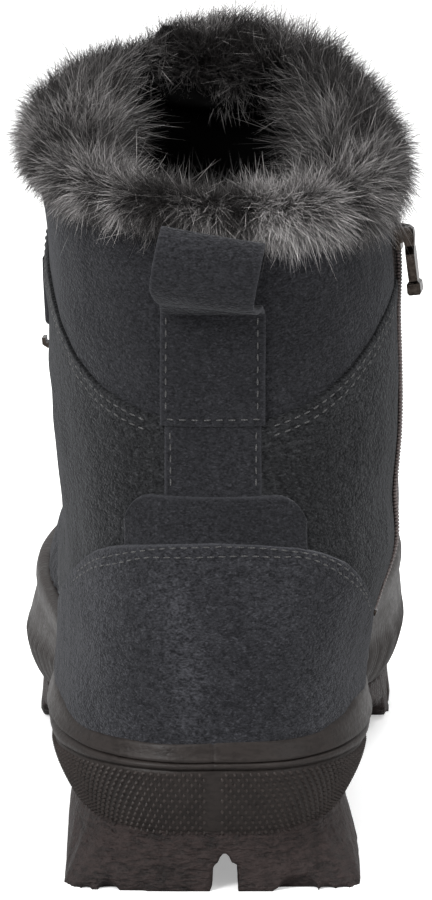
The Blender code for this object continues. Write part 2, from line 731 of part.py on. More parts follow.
def make_hardware(finish, group):
    for number, height in enumerate(HARDWARE_ROWS, start=1):
        for side, side_name in ((MEDIAL, "medial"), (LATERAL, "lateral")):
            frame = hardware_frame(side, height)
            if number <= 3:
                ring_loop(f"lace_loop_{number}_{side_name}", frame, finish, group)
            else:
                strap_hook(f"lace_hook_{number}_{side_name}", frame, finish, group)


def lace_end(side, height, inward):
    """Where a stretch of lace stops short of its loop, towards the throat."""
    point, away, _, out = hardware_frame(side, height)
    return point - away * inward + out * 3.4


def make_laces(finish, group):
    """The lowest bar and the crossings between neighbouring rows; each crossing is one joined solid."""
    def crown(a, b, lift):
        middle = (a + b) / 2
        out = Vector((0, middle.y - 60.0, 55.0)).normalized()
        rise = out * (lift * 0.75)
        return [a, a.lerp(b, 0.25) + rise, middle + out * lift, a.lerp(b, 0.75) + rise, b]

    low = HARDWARE_ROWS[0]
    bar = crown(lace_end(MEDIAL, low, 3.4), lace_end(LATERAL, low, 3.4), 1.2)
    tube("lace_bar", bar, LACE_RADIUS, finish, group)
    for number, (lower, upper) in enumerate(zip(HARDWARE_ROWS, HARDWARE_ROWS[1:]), start=1):
        name = f"lace_cross_{number}"
        low_z, high_z = lower + 4.6, upper - 4.6
        first = crown(lace_end(MEDIAL, low_z, 4.6), lace_end(LATERAL, high_z, 4.6), 1.8)
        second = crown(lace_end(LATERAL, low_z, 4.6), lace_end(MEDIAL, high_z, 4.6), 3.4)
        under = as_mesh(tube(name, first, LACE_RADIUS, finish, group), group)
        under.data.materials.clear()
        under.data.materials.append(finish)
        over = as_mesh(tube(name + "_over", second, LACE_RADIUS, finish, group), helpers())
        boolean(under, over, "UNION")


# ---------------------------------------------------------------- sole

SoleLevel = namedtuple("SoleLevel", "name inset_heel inset_ball heel_z waist_z ball_z toe_z")
SOLE_LEVELS = [
    SoleLevel("base", 7.4, 4.6, 16.5, 19.0, 14.0, 20.5),
    SoleLevel("undercut", 5.0, 2.8, 20.5, 22.0, 17.0, 23.0),
    SoleLevel("side", 1.3, 1.1, 26.0, 25.6, 21.0, 27.0),
    SoleLevel("rib", 0.0, 0.0, 30.2, 29.2, 25.2, 31.0),
    SoleLevel("shoulder", 1.4, 1.0, 31.4, 30.4, 26.6, 32.4),
]
TREAD_TOP = SoleLevel("tread top", 7.4, 4.6, 16.2, 18.7, 13.7, 20.2)
TREAD_WAIST = SoleLevel("tread waist", 5.8, 4.4, 12.0, 13.0, 9.0, 15.0)
TREAD_FOOT = SoleLevel("tread foot", 2.0, 3.4, 0.0, 0.0, 0.0, 0.0)
HEEL_HALF, HEEL_CORNER, HEEL_POWER = 38.0, 10.0, 3.2     # the heel's foot is squarer than the sole above
SHANK_TRIM = {MEDIAL: 1.7, LATERAL: 2.3}
RIM_OUT = 2.7                 # the rubber rim's thickness over the upper, with its gap
RIM_TOP_ROUND = 1.2
CUP_FLOOR_DROP = GAP + 0.3
HEEL_END_Y, BALL_Y, TOE_Y = 55.0, 175.0, SOLE_LENGTH


def sole_height(level, y):
    """Height along the sole: flat under the heel, through the waist and ball, up to the toe."""
    if y < 115.0:
        return level.heel_z + (level.waist_z - level.heel_z) * smooth_step(y, HEEL_END_Y, 115.0)
    if y < BALL_Y:
        return level.waist_z + (level.ball_z - level.waist_z) * smooth_step(y, 115.0, BALL_Y)
    spring = max((y - 195.0) / (TOE_Y - 195.0), 0.0)
    return level.ball_z + (level.toe_z - level.ball_z) * spring**1.6


def drawn_in(x, y, side):
    """Narrows the sole's outline a little between the heel and the waist."""
    trim = [SHANK_TRIM[side] * smooth_step(v, 24.0, 53.0) * (1.0 - smooth_step(v, 84.0, 120.0)) for v in y]
    return x - side * np.array(trim)


def square_heel(x, y, side):
    """Draws the heel's outline out to straight sides and a straight rear edge with round corners."""
    corner = np.clip(1.0 - y / HEEL_CORNER, 0.0, 1.0)
    square = side * HEEL_HALF * (1.0 - corner**HEEL_POWER) ** (1 / HEEL_POWER)
    blend = np.array([smooth_step(value, 45.0, 100.0) for value in y])
    return square * (1.0 - blend) + x * blend


def sole_ring(level):
    """A ring of the sole's side, inset from its widest outline."""
    ring = []
    for side in (MEDIAL, LATERAL):
        x, y = half_outline(SOLE_EDGE, side)
        x = drawn_in(x, y, side)
        if level is TREAD_FOOT:
            x = square_heel(x, y, side)
        run = lengths_along(x, y)
        count = SIDE_COLUMNS + THROAT_COLUMNS
        at = np.array(spread(count)) * run[-1]
        px, py = np.interp(at, run, x), np.interp(at, run, y)
        tx = np.interp(at + 1, run, x) - np.interp(at - 1, run, x)
        ty = np.interp(at + 1, run, y) - np.interp(at - 1, run, y)
        tx[0], ty[0], tx[-1], ty[-1] = side, 0.0, -side, 0.0
        size = np.hypot(tx, ty)
        points = []
        for k in range(count + 1):
            mix = smooth_step(py[k], 80.0, 150.0)
            inset = level.inset_heel + (level.inset_ball - level.inset_heel) * mix
            nx, ny = side * ty[k] / size[k], -side * tx[k] / size[k]
            points.append(Vector((px[k] - nx * inset, py[k] - ny * inset, sole_height(level, py[k]))))
        ring += points if side == MEDIAL else points[-2:0:-1]
    return ring


def dropped(ring, drop):
    return [point - Vector((0, 0, drop)) for point in ring]


def make_sidewall(finish, group):
    """Cupsole: a rubber rim that rises round the upper, a rib, and a tapering side."""
    rings = [sole_ring(level) for level in SOLE_LEVELS]
    rings.append(ring_of_upper(0.62, RIM_OUT + 0.4))
    rings.append(ring_of_upper(0.9, RIM_OUT))
    rings.append(ring_of_upper(RIM, RIM_OUT - RIM_TOP_ROUND))
    rings.append(ring_of_upper(RIM, GAP))
    rings.append(ring_of_upper(0.5, GAP))
    rings.append(dropped(ring_of_upper(FEATHER, GAP), CUP_FLOOR_DROP))
    maker = bmesh.new()
    rows = add_rows(maker, rings, closed=True)
    ladder(maker, rows[0])
    ladder(maker, rows[-1])
    return new_object("sidewall", maker, finish, group)


ARCH = [(78.0, -3.0), (82.0, 6.0), (90.0, 10.0), (144.0, 10.5), (160.0, 8.0), (176.0, 2.5), (184.0, -2.0)]
TOE_SPRING = [(214.0, -3.0), (214.0, 0.0), (236.0, 2.4), (256.0, 7.4), (290.0, 19.0), (290.0, -3.0)]
GROOVE_DEPTH = 6.5
HEEL_NOTCH = (-0.3, 6.2)      # the groove that splits the heel's rear edge


def tread_bottom(y):
    return float(np.interp(y, [214.0, 236.0, 256.0, 290.0], [0.0, 2.4, 7.4, 19.0]))


def chevron(y, width, sweep, half):
    """Outline of a V-shaped groove across the sole, its point towards the toe."""
    return [
        (-half, y - sweep), (1.5, y), (half, y - sweep), (half, y - sweep + width), (1.5, y + width),
        (-half, y - sweep + width),
    ]


def make_outsole(finish, group, cutters):
    rings = [sole_ring(level) for level in (TREAD_FOOT, TREAD_WAIST, TREAD_TOP)]
    maker = bmesh.new()
    rows = add_rows(maker, rings, closed=True)
    ladder(maker, rows[0])
    ladder(maker, rows[-1])
    outsole = new_object("outsole", maker, finish, group)
    left, right = HEEL_NOTCH
    notch = [(left, -20.0), (right, -20.0), (right - 1, 74.0), (left + 1, 74.0)]
    ball = [(-1.0, 150.0), (5.0, 150.0), (6.0, 240.0), (2.0, 240.0)]
    cuts = [
        ("arch", prism_maker(ARCH, -80.0, 80.0, "x")),
        ("toe_spring", prism_maker(TOE_SPRING, -80.0, 80.0, "x")),
        ("heel_notch", prism_maker(notch, -3.0, GROOVE_DEPTH, "z")),
        ("ball_groove", prism_maker(ball, -3.0, GROOVE_DEPTH, "z")),
    ]
    for number, y in enumerate((47.0, 66.0), start=1):
        groove = prism_maker(chevron(y, 4.5, 8.0, 70.0), -3.0, GROOVE_DEPTH, "z")
        cuts.append((f"heel_groove_{number}", groove))
    for number, y in enumerate((176.0, 194.0, 212.0, 230.0, 248.0), start=1):
        top = tread_bottom(y) + 6.0
        cuts.append((f"ball_groove_{number}", prism_maker(chevron(y, 5.0, 10.0, 70.0), -3.0, top, "z")))
    for name, cut in cuts:
        boolean(outsole, new_object(name, cut, None, cutters), "DIFFERENCE")
    return outsole


def make_insole(finish, group):
    """Footbed on the cup's floor, inside the upper."""
    rings = [
        dropped(ring_of_upper(FEATHER, -WALL - GAP - 0.5), CUP_FLOOR_DROP - GAP),
        ring_of_upper(0.28, -WALL - GAP - 0.5),
        ring_of_upper(0.36, -WALL - GAP - 1.6),
    ]
    maker = bmesh.new()
    rows = add_rows(maker, rings, closed=True)
    ladder(maker, rows[0])
    ladder(maker, rows[-1])
    return new_object("insole", maker, finish, group)


# ---------------------------------------------------------------- the boot


def helpers():
    return bpy.data.collections["helpers"]


def make_boot():
    clear_scene()
    boot = collection("winter_boot")
    cutters = collection("helpers")
    suede = material("suede", (0.035, 0.037, 0.045), 0.95)
    fur = material("fur", (0.07, 0.065, 0.065), 0.9)
    rubber = material("rubber", (0.045, 0.038, 0.036), 0.55)
    textile = material("zip_textile", (0.02, 0.02, 0.02), 0.8)
    metal = material("dark_metal", (0.09, 0.075, 0.065), 0.35, 1.0)
    lace = material("lace", (0.03, 0.03, 0.033), 0.9)
    felt = material("felt", (0.05, 0.05, 0.055), 1.0)
    make_outsole(rubber, boot, cutters)
    make_sidewall(rubber, boot)
    make_insole(felt, boot)
    make_upper(suede, boot, cutters)
    make_counter(suede, boot)
    make_pull_loop(suede, boot)
    make_side_tab(suede, boot)
    make_side_hook(metal, boot)
    make_cuff(fur, boot)
    make_tongue(suede, boot)
    make_tongue_fur(fur, boot)
    make_zip(textile, boot)
    make_slider(metal, boot)
    make_pull(metal, boot)
    make_hardware(metal, boot)
    make_laces(lace, boot)


make_boot()
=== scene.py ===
import math
from collections import namedtuple

import bmesh
import bpy
import numpy as np
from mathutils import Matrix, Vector
from mathutils.kdtree import KDTree


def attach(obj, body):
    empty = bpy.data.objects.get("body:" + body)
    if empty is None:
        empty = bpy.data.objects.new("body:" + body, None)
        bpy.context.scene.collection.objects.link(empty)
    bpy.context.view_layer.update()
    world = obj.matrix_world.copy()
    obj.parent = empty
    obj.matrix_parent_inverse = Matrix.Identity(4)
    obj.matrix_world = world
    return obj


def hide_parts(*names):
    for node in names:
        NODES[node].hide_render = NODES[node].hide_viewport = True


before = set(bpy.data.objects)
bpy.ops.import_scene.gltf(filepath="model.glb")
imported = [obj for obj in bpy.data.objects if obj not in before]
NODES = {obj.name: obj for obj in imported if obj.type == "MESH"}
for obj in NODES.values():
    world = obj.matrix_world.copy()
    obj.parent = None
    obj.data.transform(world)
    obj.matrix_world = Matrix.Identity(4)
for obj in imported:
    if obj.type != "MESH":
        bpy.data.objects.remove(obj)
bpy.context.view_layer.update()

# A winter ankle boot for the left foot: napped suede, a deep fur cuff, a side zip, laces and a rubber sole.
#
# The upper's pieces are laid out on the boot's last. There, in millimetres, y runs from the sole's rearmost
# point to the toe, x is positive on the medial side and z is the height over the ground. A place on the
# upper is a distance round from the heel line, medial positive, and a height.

BOOT = "boot"
MM = 0.001
MIDDLE = np.array([1.0, 133.3, 0.0])      # middle of the boot on the last's own lines
MEDIAL, LATERAL = 1, -1
UP = np.array([0.0, 0.0, 1.0])

# ---------------------------------------------------------------- the last

Section = namedtuple(
    "Section",
    "back_y back_z side_z front_y front_z medial_x medial_y lateral_x lateral_y toe_x"
    " back_power front_power waist_in waist_out tilt",
)
SECTIONS = [
    Section(6.5, 26, 27, 261, 31.5, 45.8, 190, -43.2, 165, 8, 3, 2.3, 14, 8.5, 0),           # feather
    Section(4, 36, 40.5, 264, 44, 48, 190, -44.6, 161, 8, 3, 2.3, 13.5, 8, 0),               # rim
    Section(3.2, 50, 51.5, 259.5, 61, 45.5, 174, -41.4, 155, 8, 3, 2.3, 7, 3, 0),            # toe box
    Section(3.5, 62, 63.5, 248, 74.5, 45, 132, -39, 126, 7, 2.9, 2.1, 2, 0.5, 0),            # low vamp
    Section(4.8, 74, 76.5, 225, 87, 46.2, 92, -36.9, 96, 5, 2.6, 1.95, 0, 0, 0),             # high vamp
    Section(7, 87, 91, 194, 100, 45.9, 84, -37.7, 88, 3, 2.4, 1.9, 0, 0, 0.1),               # instep
    Section(8.8, 100, 106, 163, 116, 46.4, 76, -38.7, 80, 2, 2.3, 1.95, 0, 0, 0.3),          # ankle
    Section(9.6, 115, 121, 144, 133, 45.9, 70, -39.2, 74, 1, 2.25, 2, 0, 0, 0.6),            # low shaft
    Section(9.5, 130, 135.5, 133, 149, 45.3, 67, -40, 70, 1, 2.2, 2.1, 0, 0, 1.2),           # shaft
    Section(9.1, 145, 150.5, 126, 165, 45.2, 65, -40.6, 67, 1, 2.2, 2.2, 0, 0, 1.9),         # high shaft
    Section(8.6, 161.5, 169, 121, 184, 42.8, 64, -43.6, 66, 0.4, 2.2, 2.3, 0, 0, 2.6),       # collar
]
SOLE_EDGE = Section(0, 0, 0, 272, 0, 52.2, 190, -50.8, 168, 8, 3, 2.3, 16, 10.5, 0)
RIM, COLLAR = 1.0, len(SECTIONS) - 1.0    # levels: a section's place in the list
TILT_REACH = 45.0                         # x at which a section's tilt counts in full
WAIST_Y = 100.0
WAIST_SPREAD = {MEDIAL: 55.0, LATERAL: 48.0}
THROAT_END = 5.2                          # level of the lacing throat's lower end
THROAT_ROUND = 0.35                       # levels over which that end is rounded
THROAT_HALF_LOW, THROAT_HALF_HIGH = 9.0, 14.0
THROAT_TIP = 0.72                         # share of its width at its very end
WALL = 3.2                                # suede with its warm lining


def curve_at(corners, at):
    """A place on the smooth line through corner points of any width; at grows by 1 from each to the next."""
    corners = np.asarray(corners, float)
    ends = np.vstack([2 * corners[0] - corners[1], corners, 2 * corners[-1] - corners[-2]])
    i = min(int(at), len(corners) - 2)
    t = at - i
    a, b, c, d = ends[i:i + 4]
    return b + 0.5 * t * (c - a + t * (2 * a - 5 * b + 4 * c - d + t * (3 * (b - c) + d - a)))


def curve_through(corners, count):
    """Points at even steps along that line."""
    return np.array([curve_at(corners, at) for at in np.linspace(0, len(corners) - 1, count)])


def half_outline(section, side, count=400):
    """Points in plan from heel to toe along one side: two quarters of a superellipse, with a waist."""
    if side == MEDIAL:
        wide_x, wide_y, waist = section.medial_x, section.medial_y, section.waist_in
    else:
        wide_x, wide_y, waist = section.lateral_x, section.lateral_y, section.waist_out
    angle = np.linspace(0.0, math.pi / 2, count)
    rise, fall = np.sin(angle), np.clip(np.cos(angle), 0.0, 1.0)
    back, front = 2 / section.back_power, 2 / section.front_power
    rear_x = wide_x * rise**back
    rear_y = wide_y - (wide_y - section.back_y) * fall**back
    fore_x = section.toe_x + (wide_x - section.toe_x) * fall**front
    fore_y = wide_y + (section.front_y - wide_y) * rise**front
    x, y = np.append(rear_x, fore_x[1:]), np.append(rear_y, fore_y[1:])
    share = np.abs(x) / abs(wide_x)
    x = x - side * waist * np.clip(share, 0, 1) * np.exp(-(((y - WAIST_Y) / WAIST_SPREAD[side]) ** 2))
    return x, y


def section_height(section, x, y):
    """Height of a section's edge: a parabola through its back, side and front heights, and its tilt."""
    s = (y - section.back_y) / (section.front_y - section.back_y)
    height = (
        section.back_z * (1 - s) * (1 - 2 * s)
        + section.side_z * 4 * s * (1 - s)
        + section.front_z * s * (2 * s - 1)
    )
    return height - section.tilt * x / TILT_REACH


def lengths_along(x, y):
    """Running lengths along a line in plan."""
    return np.append(0.0, np.cumsum(np.hypot(np.diff(x), np.diff(y))))


def unit(vectors):
    """The vectors, each brought to length 1."""
    return vectors / np.maximum(np.linalg.norm(vectors, axis=-1, keepdims=True), 1e-9)


LEVELS = np.linspace(0.0, COLLAR, 201)
SHARES = np.linspace(0.0, 1.0, 481)


def shell_table(side):
    """Places, outward normals and lengths of one side of the upper, at every level and share of the way."""
    rows, lengths = [], []
    for level in LEVELS:
        section = Section(*curve_at(SECTIONS, level))
        x, y = half_outline(section, side)
        run = lengths_along(x, y)
        px, py = np.interp(SHARES * run[-1], run, x), np.interp(SHARES * run[-1], run, y)
        rows.append(np.column_stack([px, py, section_height(section, px, py)]))
        lengths.append(run[-1])
    places = np.array(rows)
    along = np.gradient(places, axis=1)
    along[:, [0, -1], 1] = 0.0            # square to the heel line and to the toe line
    normals = unit(np.cross(along, np.gradient(places, axis=0)) * side)
    return places, normals, np.array(lengths)


SHELL = {side: shell_table(side) for side in (MEDIAL, LATERAL)}


def side_length(side, level):
    """Length of one side of the upper from the heel line to the front line."""
    return np.interp(level, LEVELS, SHELL[side][2])


def shell_at(side, level, share):
    """(places, normals) on one side's outer face at arrays of levels and shares."""
    level, share = np.broadcast_arrays(np.asarray(level, float), np.asarray(share, float))
    row = np.clip(level / COLLAR * (len(LEVELS) - 1), 0, len(LEVELS) - 1.0001)
    column = np.clip(share * (len(SHARES) - 1), 0, len(SHARES) - 1.0001)
    i, j = row.astype(int), column.astype(int)
    u, v = (row - i)[..., None], (column - j)[..., None]
    found = []
    for table in SHELL[side][:2]:
        low = table[i, j] * (1 - v) + table[i, j + 1] * v
        high = table[i + 1, j] * (1 - v) + table[i + 1, j + 1] * v
        found.append(low * (1 - u) + high * u)
    return found[0], unit(found[1])


def level_at(side, distance, height, from_front=False):
    """(levels, shares) of points at these heights and distances round from the heel or the front line."""
    distance, height = np.broadcast_arrays(np.asarray(distance, float), np.asarray(height, float))
    low, high = np.zeros(distance.shape), np.full(distance.shape, COLLAR)
    for _ in range(22):
        level = (low + high) / 2
        share = np.clip(distance / side_length(side, level), 0, 1)
        if from_front:
            share = 1 - share
        under = shell_at(side, level, share)[0][..., 2] < height
        low, high = np.where(under, level, low), np.where(under, high, level)
    return level, share


def by_side(signed):
    """(side, which of the values lie on it) for both sides; what is not below zero is medial."""
    return (MEDIAL, signed >= 0), (LATERAL, signed < 0)


def on_shell(distance, height, offset=0.0, from_front=False):
    """Places at signed distances round, medial positive, and heights, moved out by offset."""
    distance, height, offset = np.broadcast_arrays(
        np.asarray(distance, float), np.asarray(height, float), np.asarray(offset, float)
    )
    places = np.empty(distance.shape + (3,))
    for side, here in by_side(distance):
        if here.any():
            level, share = level_at(side, np.abs(distance[here]), height[here], from_front)
            p, n = shell_at(side, level, share)
            places[here] = p + n * offset[here][..., None]
    return places


def side_distance(side, y, height):
    """Distance round from the heel line of the point at this y and height on one side."""
    distance = np.broadcast_arrays(np.asarray(y, float), np.asarray(height, float))[0].copy()
    for _ in range(12):
        level, share = level_at(side, distance, height)
        distance = distance + (y - shell_at(side, level, share)[0][..., 1])
    return distance


def throat_half(level):
    """Half the width of the lacing throat at a level, with a rounded lower end."""
    rise = np.clip((level - THROAT_END) / (COLLAR - THROAT_END), 0.0, 1.0)
    width = THROAT_HALF_LOW + (THROAT_HALF_HIGH - THROAT_HALF_LOW) * rise
    round_end = np.clip((level - THROAT_END) / THROAT_ROUND, 0.0, 1.0)
    return width * (THROAT_TIP + (1 - THROAT_TIP) * np.sqrt(round_end))


def throat_share(side, level):
    """Share of the way round at which one side of the upper ends at the throat."""
    level = np.maximum(level, THROAT_END)
    return 1.0 - throat_half(level) / side_length(side, level)


def place(points):
    """From the last's millimetres to metres round the middle of the boot."""
    return (np.asarray(points, float) - MIDDLE) * MM


def smooth(value, low, high):
    """0 below low and 1 over high, with a smooth step between them."""
    t = np.clip((value - low) / (high - low), 0.0, 1.0)
    return t * t * (3 - 2 * t)


WAVES = 9


def wobble(points, size, seed):
    """Smooth noise from -1 to 1 over places in millimetres, with features about size across."""
    total = np.zeros(len(points))
    source = np.random.default_rng(seed)
    for _ in range(WAVES):
        direction = source.normal(size=3)
        direction /= np.linalg.norm(direction)
        total += np.sin(points @ direction * (2 * math.pi / size) * source.uniform(0.6, 1.5)
                        + source.uniform(0, 2 * math.pi))
    return total / (WAVES / 2)


# ---------------------------------------------------------------- meshes


def built(name, build):
    """A new mesh, from the calls that build makes on a bmesh."""
    maker = bmesh.new()
    build(maker)
    mesh = bpy.data.meshes.new(name)
    maker.to_mesh(mesh)
    maker.free()
    return mesh


def flat_grid(name, columns, rows, half):
    """A square grid in metres from -half to half."""
    return built(name, lambda m: bmesh.ops.create_grid(m, x_segments=columns, y_segments=rows, size=half))


def edited(mesh, change):
    """The mesh after a change made to it as a bmesh."""
    maker = bmesh.new()
    maker.from_mesh(mesh)
    change(maker)
    maker.to_mesh(mesh)
    maker.free()
    return mesh


def merge(maker, distance=0.02):
    """Merges points that meet, within a distance in millimetres."""
    bmesh.ops.remove_doubles(maker, verts=maker.verts, dist=distance * MM)


def read_vectors(data, key):
    """A column of vectors read from mesh data, such as places or normals."""
    flat = np.empty(len(data) * 3, "f")
    data.foreach_get(key, flat)
    return flat.reshape(-1, 3)


def points_of(mesh):
    """A mesh's points in the last's millimetres."""
    return read_vectors(mesh.vertices, "co") / MM + MIDDLE


def put_points(mesh, points):
    """Moves a mesh's points to places in the last's millimetres."""
    mesh.vertices.foreach_set("co", place(points).astype("f").ravel())


def add_attributes(mesh, attributes):
    """Gives each point its values, under their names."""
    for key, values in attributes.items():
        mesh.attributes.new(key, "FLOAT", "POINT").data.foreach_set("value", np.asarray(values, "f"))


def finish_piece(name, mesh, finish, nodes=(), smooth_faces=True):
    """Links a piece, rides it on the boot and says which CAD nodes it stands for."""
    piece = bpy.data.objects.new(name, mesh)
    bpy.context.scene.collection.objects.link(piece)
    mesh.materials.clear()
    mesh.materials.append(FINISH[finish])
    if smooth_faces:
        mesh.shade_smooth()
    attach(piece, BOOT)
    if nodes:
        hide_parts(*nodes)
    return piece


def grid_mesh(name, columns, rows, shape, outward=True):
    """A sheet of quads. shape takes across and along, each from 0 to 1, and gives places in millimetres,
    and may give attributes too."""
    mesh = flat_grid(name, columns, rows, 0.5)
    flat = np.clip(read_vectors(mesh.vertices, "co") + 0.5, 0, 1)
    made = shape(flat[:, 0], flat[:, 1])
    points, attributes = made if isinstance(made, tuple) else (made, {})
    put_points(mesh, points)
    add_attributes(mesh, attributes)
    if not outward:
        mesh.flip_normals()
    mesh.update()
    return mesh


def mesh_from_arrays(name, points, faces, attributes=None):
    """A joined mesh of many small shapes, from arrays of places in millimetres and of faces."""
    mesh = bpy.data.meshes.new(name)
    count, corners = faces.shape
    mesh.vertices.add(len(points))
    put_points(mesh, points)
    mesh.loops.add(count * corners)
    mesh.loops.foreach_set("vertex_index", faces.astype("i").ravel())
    mesh.polygons.add(count)
    mesh.polygons.foreach_set("loop_start", np.arange(count, dtype="i") * corners)
    add_attributes(mesh, attributes or {})
    mesh.update(calc_edges=True)
    mesh.validate()
    return mesh


def copies(shape_points, shape_faces, origins, axes):
    """Joined copies of one small shape: each is turned by its 3x3 axes (rows) and moved to its origin."""
    turned = np.einsum("vk,nkj->nvj", shape_points, axes) + origins[:, None, :]
    steps = np.arange(len(origins)) * len(shape_points)
    faces = (shape_faces[None] + steps[:, None, None]).reshape(-1, shape_faces.shape[1])
    return turned.reshape(-1, 3), faces


def spaced(points, pitch):
    """Places every pitch along a line of points."""
    run = np.append(0.0, np.cumsum(np.linalg.norm(np.diff(points, axis=0), axis=1)))
    count = max(int(run[-1] / pitch), 1)
    at = (np.arange(count) + 0.5) * run[-1] / count
    return np.column_stack([np.interp(at, run, points[:, k]) for k in range(3)])


# ---------------------------------------------------------------- materials

Socket = namedtuple("Socket", "name kind value")


class Wiring:
    """Short calls for building a node tree."""

    def __init__(self, tree):
        self.tree = tree

    def node(self, kind, inputs=None, **settings):
        made = self.tree.nodes.new(kind)
        for key, value in settings.items():
            setattr(made, key, value)
        for key, value in (inputs or {}).items():
            if isinstance(value, bpy.types.NodeSocket):
                self.tree.links.new(value, made.inputs[key])
            else:
                made.inputs[key].default_value = value
        return made

    def noise(self, vector, scale, detail=4.0, roughness=0.55):
        made = self.node("ShaderNodeTexNoise", {"Vector": vector, "Scale": scale, "Detail": detail,
                                                 "Roughness": roughness})
        return made.outputs["Fac"]

    def spread(self, value, low, high, to_low=0.0, to_high=1.0):
        made = self.node("ShaderNodeMapRange", {"Value": value, "From Min": low, "From Max": high,
                                                 "To Min": to_low, "To Max": to_high})
        return made.outputs["Result"]

    def math(self, operation, first, second):
        return self.node("ShaderNodeMath", {0: first, 1: second}, operation=operation).outputs[0]

    def plus(self, first, second):
        return self.math("ADD", first, second)

    def times(self, first, second):
        return self.math("MULTIPLY", first, second)

    def mix(self, share, first, second):
        made = self.node("ShaderNodeMix", {"Factor": share, "A": first, "B": second}, data_type="RGBA")
        return made.outputs["Result"]

    def attribute(self, name):
        return self.node("ShaderNodeAttribute", attribute_name=name).outputs["Fac"]

    def places(self):
        return self.node("ShaderNodeTexCoord").outputs["Object"]

    def bump(self, height, strength, distance):
        made = self.node("ShaderNodeBump", {"Height": height, "Strength": strength, "Distance": distance})
        return made.outputs["Normal"]

    def join(self, node, **values):
        for key, value in values.items():
            self.tree.links.new(value, node.inputs[key.replace("_", " ")])


def new_group(name, inputs, outputs):
    """An empty shader node group with these sockets; returns (group, wiring, input sockets, output node)."""
    group = bpy.data.node_groups.new(name, "ShaderNodeTree")
    for socket in inputs:
        made = group.interface.new_socket(socket.name, in_out="INPUT", socket_type=socket.kind)
        made.default_value = socket.value
    for socket in outputs:
        group.interface.new_socket(socket.name, in_out="OUTPUT", socket_type=socket.kind)
    wires = Wiring(group)
    return group, wires, wires.node("NodeGroupInput").outputs, wires.node("NodeGroupOutput")


def nap_group():
    """Napped leather: a shade from 0 to 1 with mottles, short fibres and brushed patches, and a height."""
    group, wires, given, out = new_group(
        "nap",
        [Socket("Mottle Scale", "NodeSocketFloat", 700.0), Socket("Fibre Scale", "NodeSocketFloat", 2600.0),
         Socket("Patch Scale", "NodeSocketFloat", 45.0)],
        [Socket("Shade", "NodeSocketFloat", 0), Socket("Height", "NodeSocketFloat", 0)],
    )
    where = wires.places()
    lying = wires.node("ShaderNodeMapping", {"Vector": where, "Scale": (0.75, 0.75, 1.2)}).outputs[0]
    mottle = wires.noise(lying, given["Mottle Scale"], 3.0, 0.6)
    fibre = wires.noise(lying, given["Fibre Scale"], 1.5, 0.5)
    patch = wires.noise(where, given["Patch Scale"], 4.0, 0.6)
    broken = wires.spread(wires.noise(lying, 300.0, 3.0, 0.7), 0.36, 0.64, 0.35, 1.4)
    speck = wires.spread(wires.noise(lying, 1500.0, 1.0, 0.5), 0.60, 0.70)
    fine = wires.plus(wires.spread(mottle, 0.40, 0.62, 0.0, 0.40), wires.spread(fibre, 0.36, 0.64, 0.0, 0.62))
    rubbed = wires.times(wires.times(wires.attribute("brushed"), 0.42), broken)
    brushed = wires.plus(wires.times(wires.spread(patch, 0.35, 0.66), 0.30), rubbed)
    shade = wires.times(fine, wires.plus(brushed, 0.42))
    shade = wires.plus(shade, wires.times(speck, 0.45))
    height = wires.plus(wires.times(fibre, 0.6), mottle)
    wires.join(out, Shade=shade, Height=height)
    return group


def grain_group():
    """Moulded rubber: faint mottles, flecks and wrinkles, and a pebbled height like leather grain."""
    group, wires, given, out = new_group(
        "moulded grain",
        [Socket("Pebble Scale", "NodeSocketFloat", 900.0)],
        [Socket("Shade", "NodeSocketFloat", 0), Socket("Height", "NodeSocketFloat", 0)],
    )
    where = wires.places()
    stir = wires.node("ShaderNodeTexNoise", {"Vector": where, "Scale": 500.0}).outputs["Color"]
    bent = wires.mix(0.0008, where, stir)
    pebble = wires.node("ShaderNodeTexVoronoi", {"Vector": bent, "Scale": given["Pebble Scale"]},
                        feature="SMOOTH_F1").outputs["Distance"]
    cloud = wires.noise(where, 120.0, 5.0, 0.6)
    fleck = wires.noise(where, 1800.0, 3.0, 0.7)
    flat = wires.node("ShaderNodeMapping", {"Vector": bent, "Scale": (0.4, 0.4, 1.3)}).outputs[0]
    wrinkle = wires.noise(flat, 900.0, 2.0, 0.6)
    shade = wires.plus(wires.spread(cloud, 0.36, 0.64, 0.0, 0.6), wires.spread(fleck, 0.38, 0.62, 0.0, 0.3))
    shade = wires.plus(shade, wires.spread(wrinkle, 0.42, 0.60, 0.0, 0.55))
    height = wires.plus(wires.times(pebble, -0.7), wires.times(fleck, 0.35))
    height = wires.plus(height, wrinkle)
    wires.join(out, Shade=shade, Height=height)
    return group


GROUPS = {"nap": nap_group(), "grain": grain_group()}


def new_material(name, roughness, metallic=0.0, specular=0.5, sheen=0.0, sheen_roughness=0.5,
                 sheen_tint=(1.0, 1.0, 1.0)):
    """(material, wiring, shader) with the plain values set on the shader's own sockets."""
    made = bpy.data.materials.new(name)
    made.use_nodes = True
    shader = made.node_tree.nodes["Principled BSDF"]
    shader.inputs["Roughness"].default_value = roughness
    shader.inputs["Metallic"].default_value = metallic
    shader.inputs["Specular IOR Level"].default_value = specular
    shader.inputs["Sheen Weight"].default_value = sheen
    shader.inputs["Sheen Roughness"].default_value = sheen_roughness
    shader.inputs["Sheen Tint"].default_value = (*sheen_tint, 1.0)
    return made, Wiring(made.node_tree), shader


def grey(value):
    return (value, value, value, 1.0)


def scaled(colour, factor):
    return (*(part * factor for part in colour[:3]), 1.0)


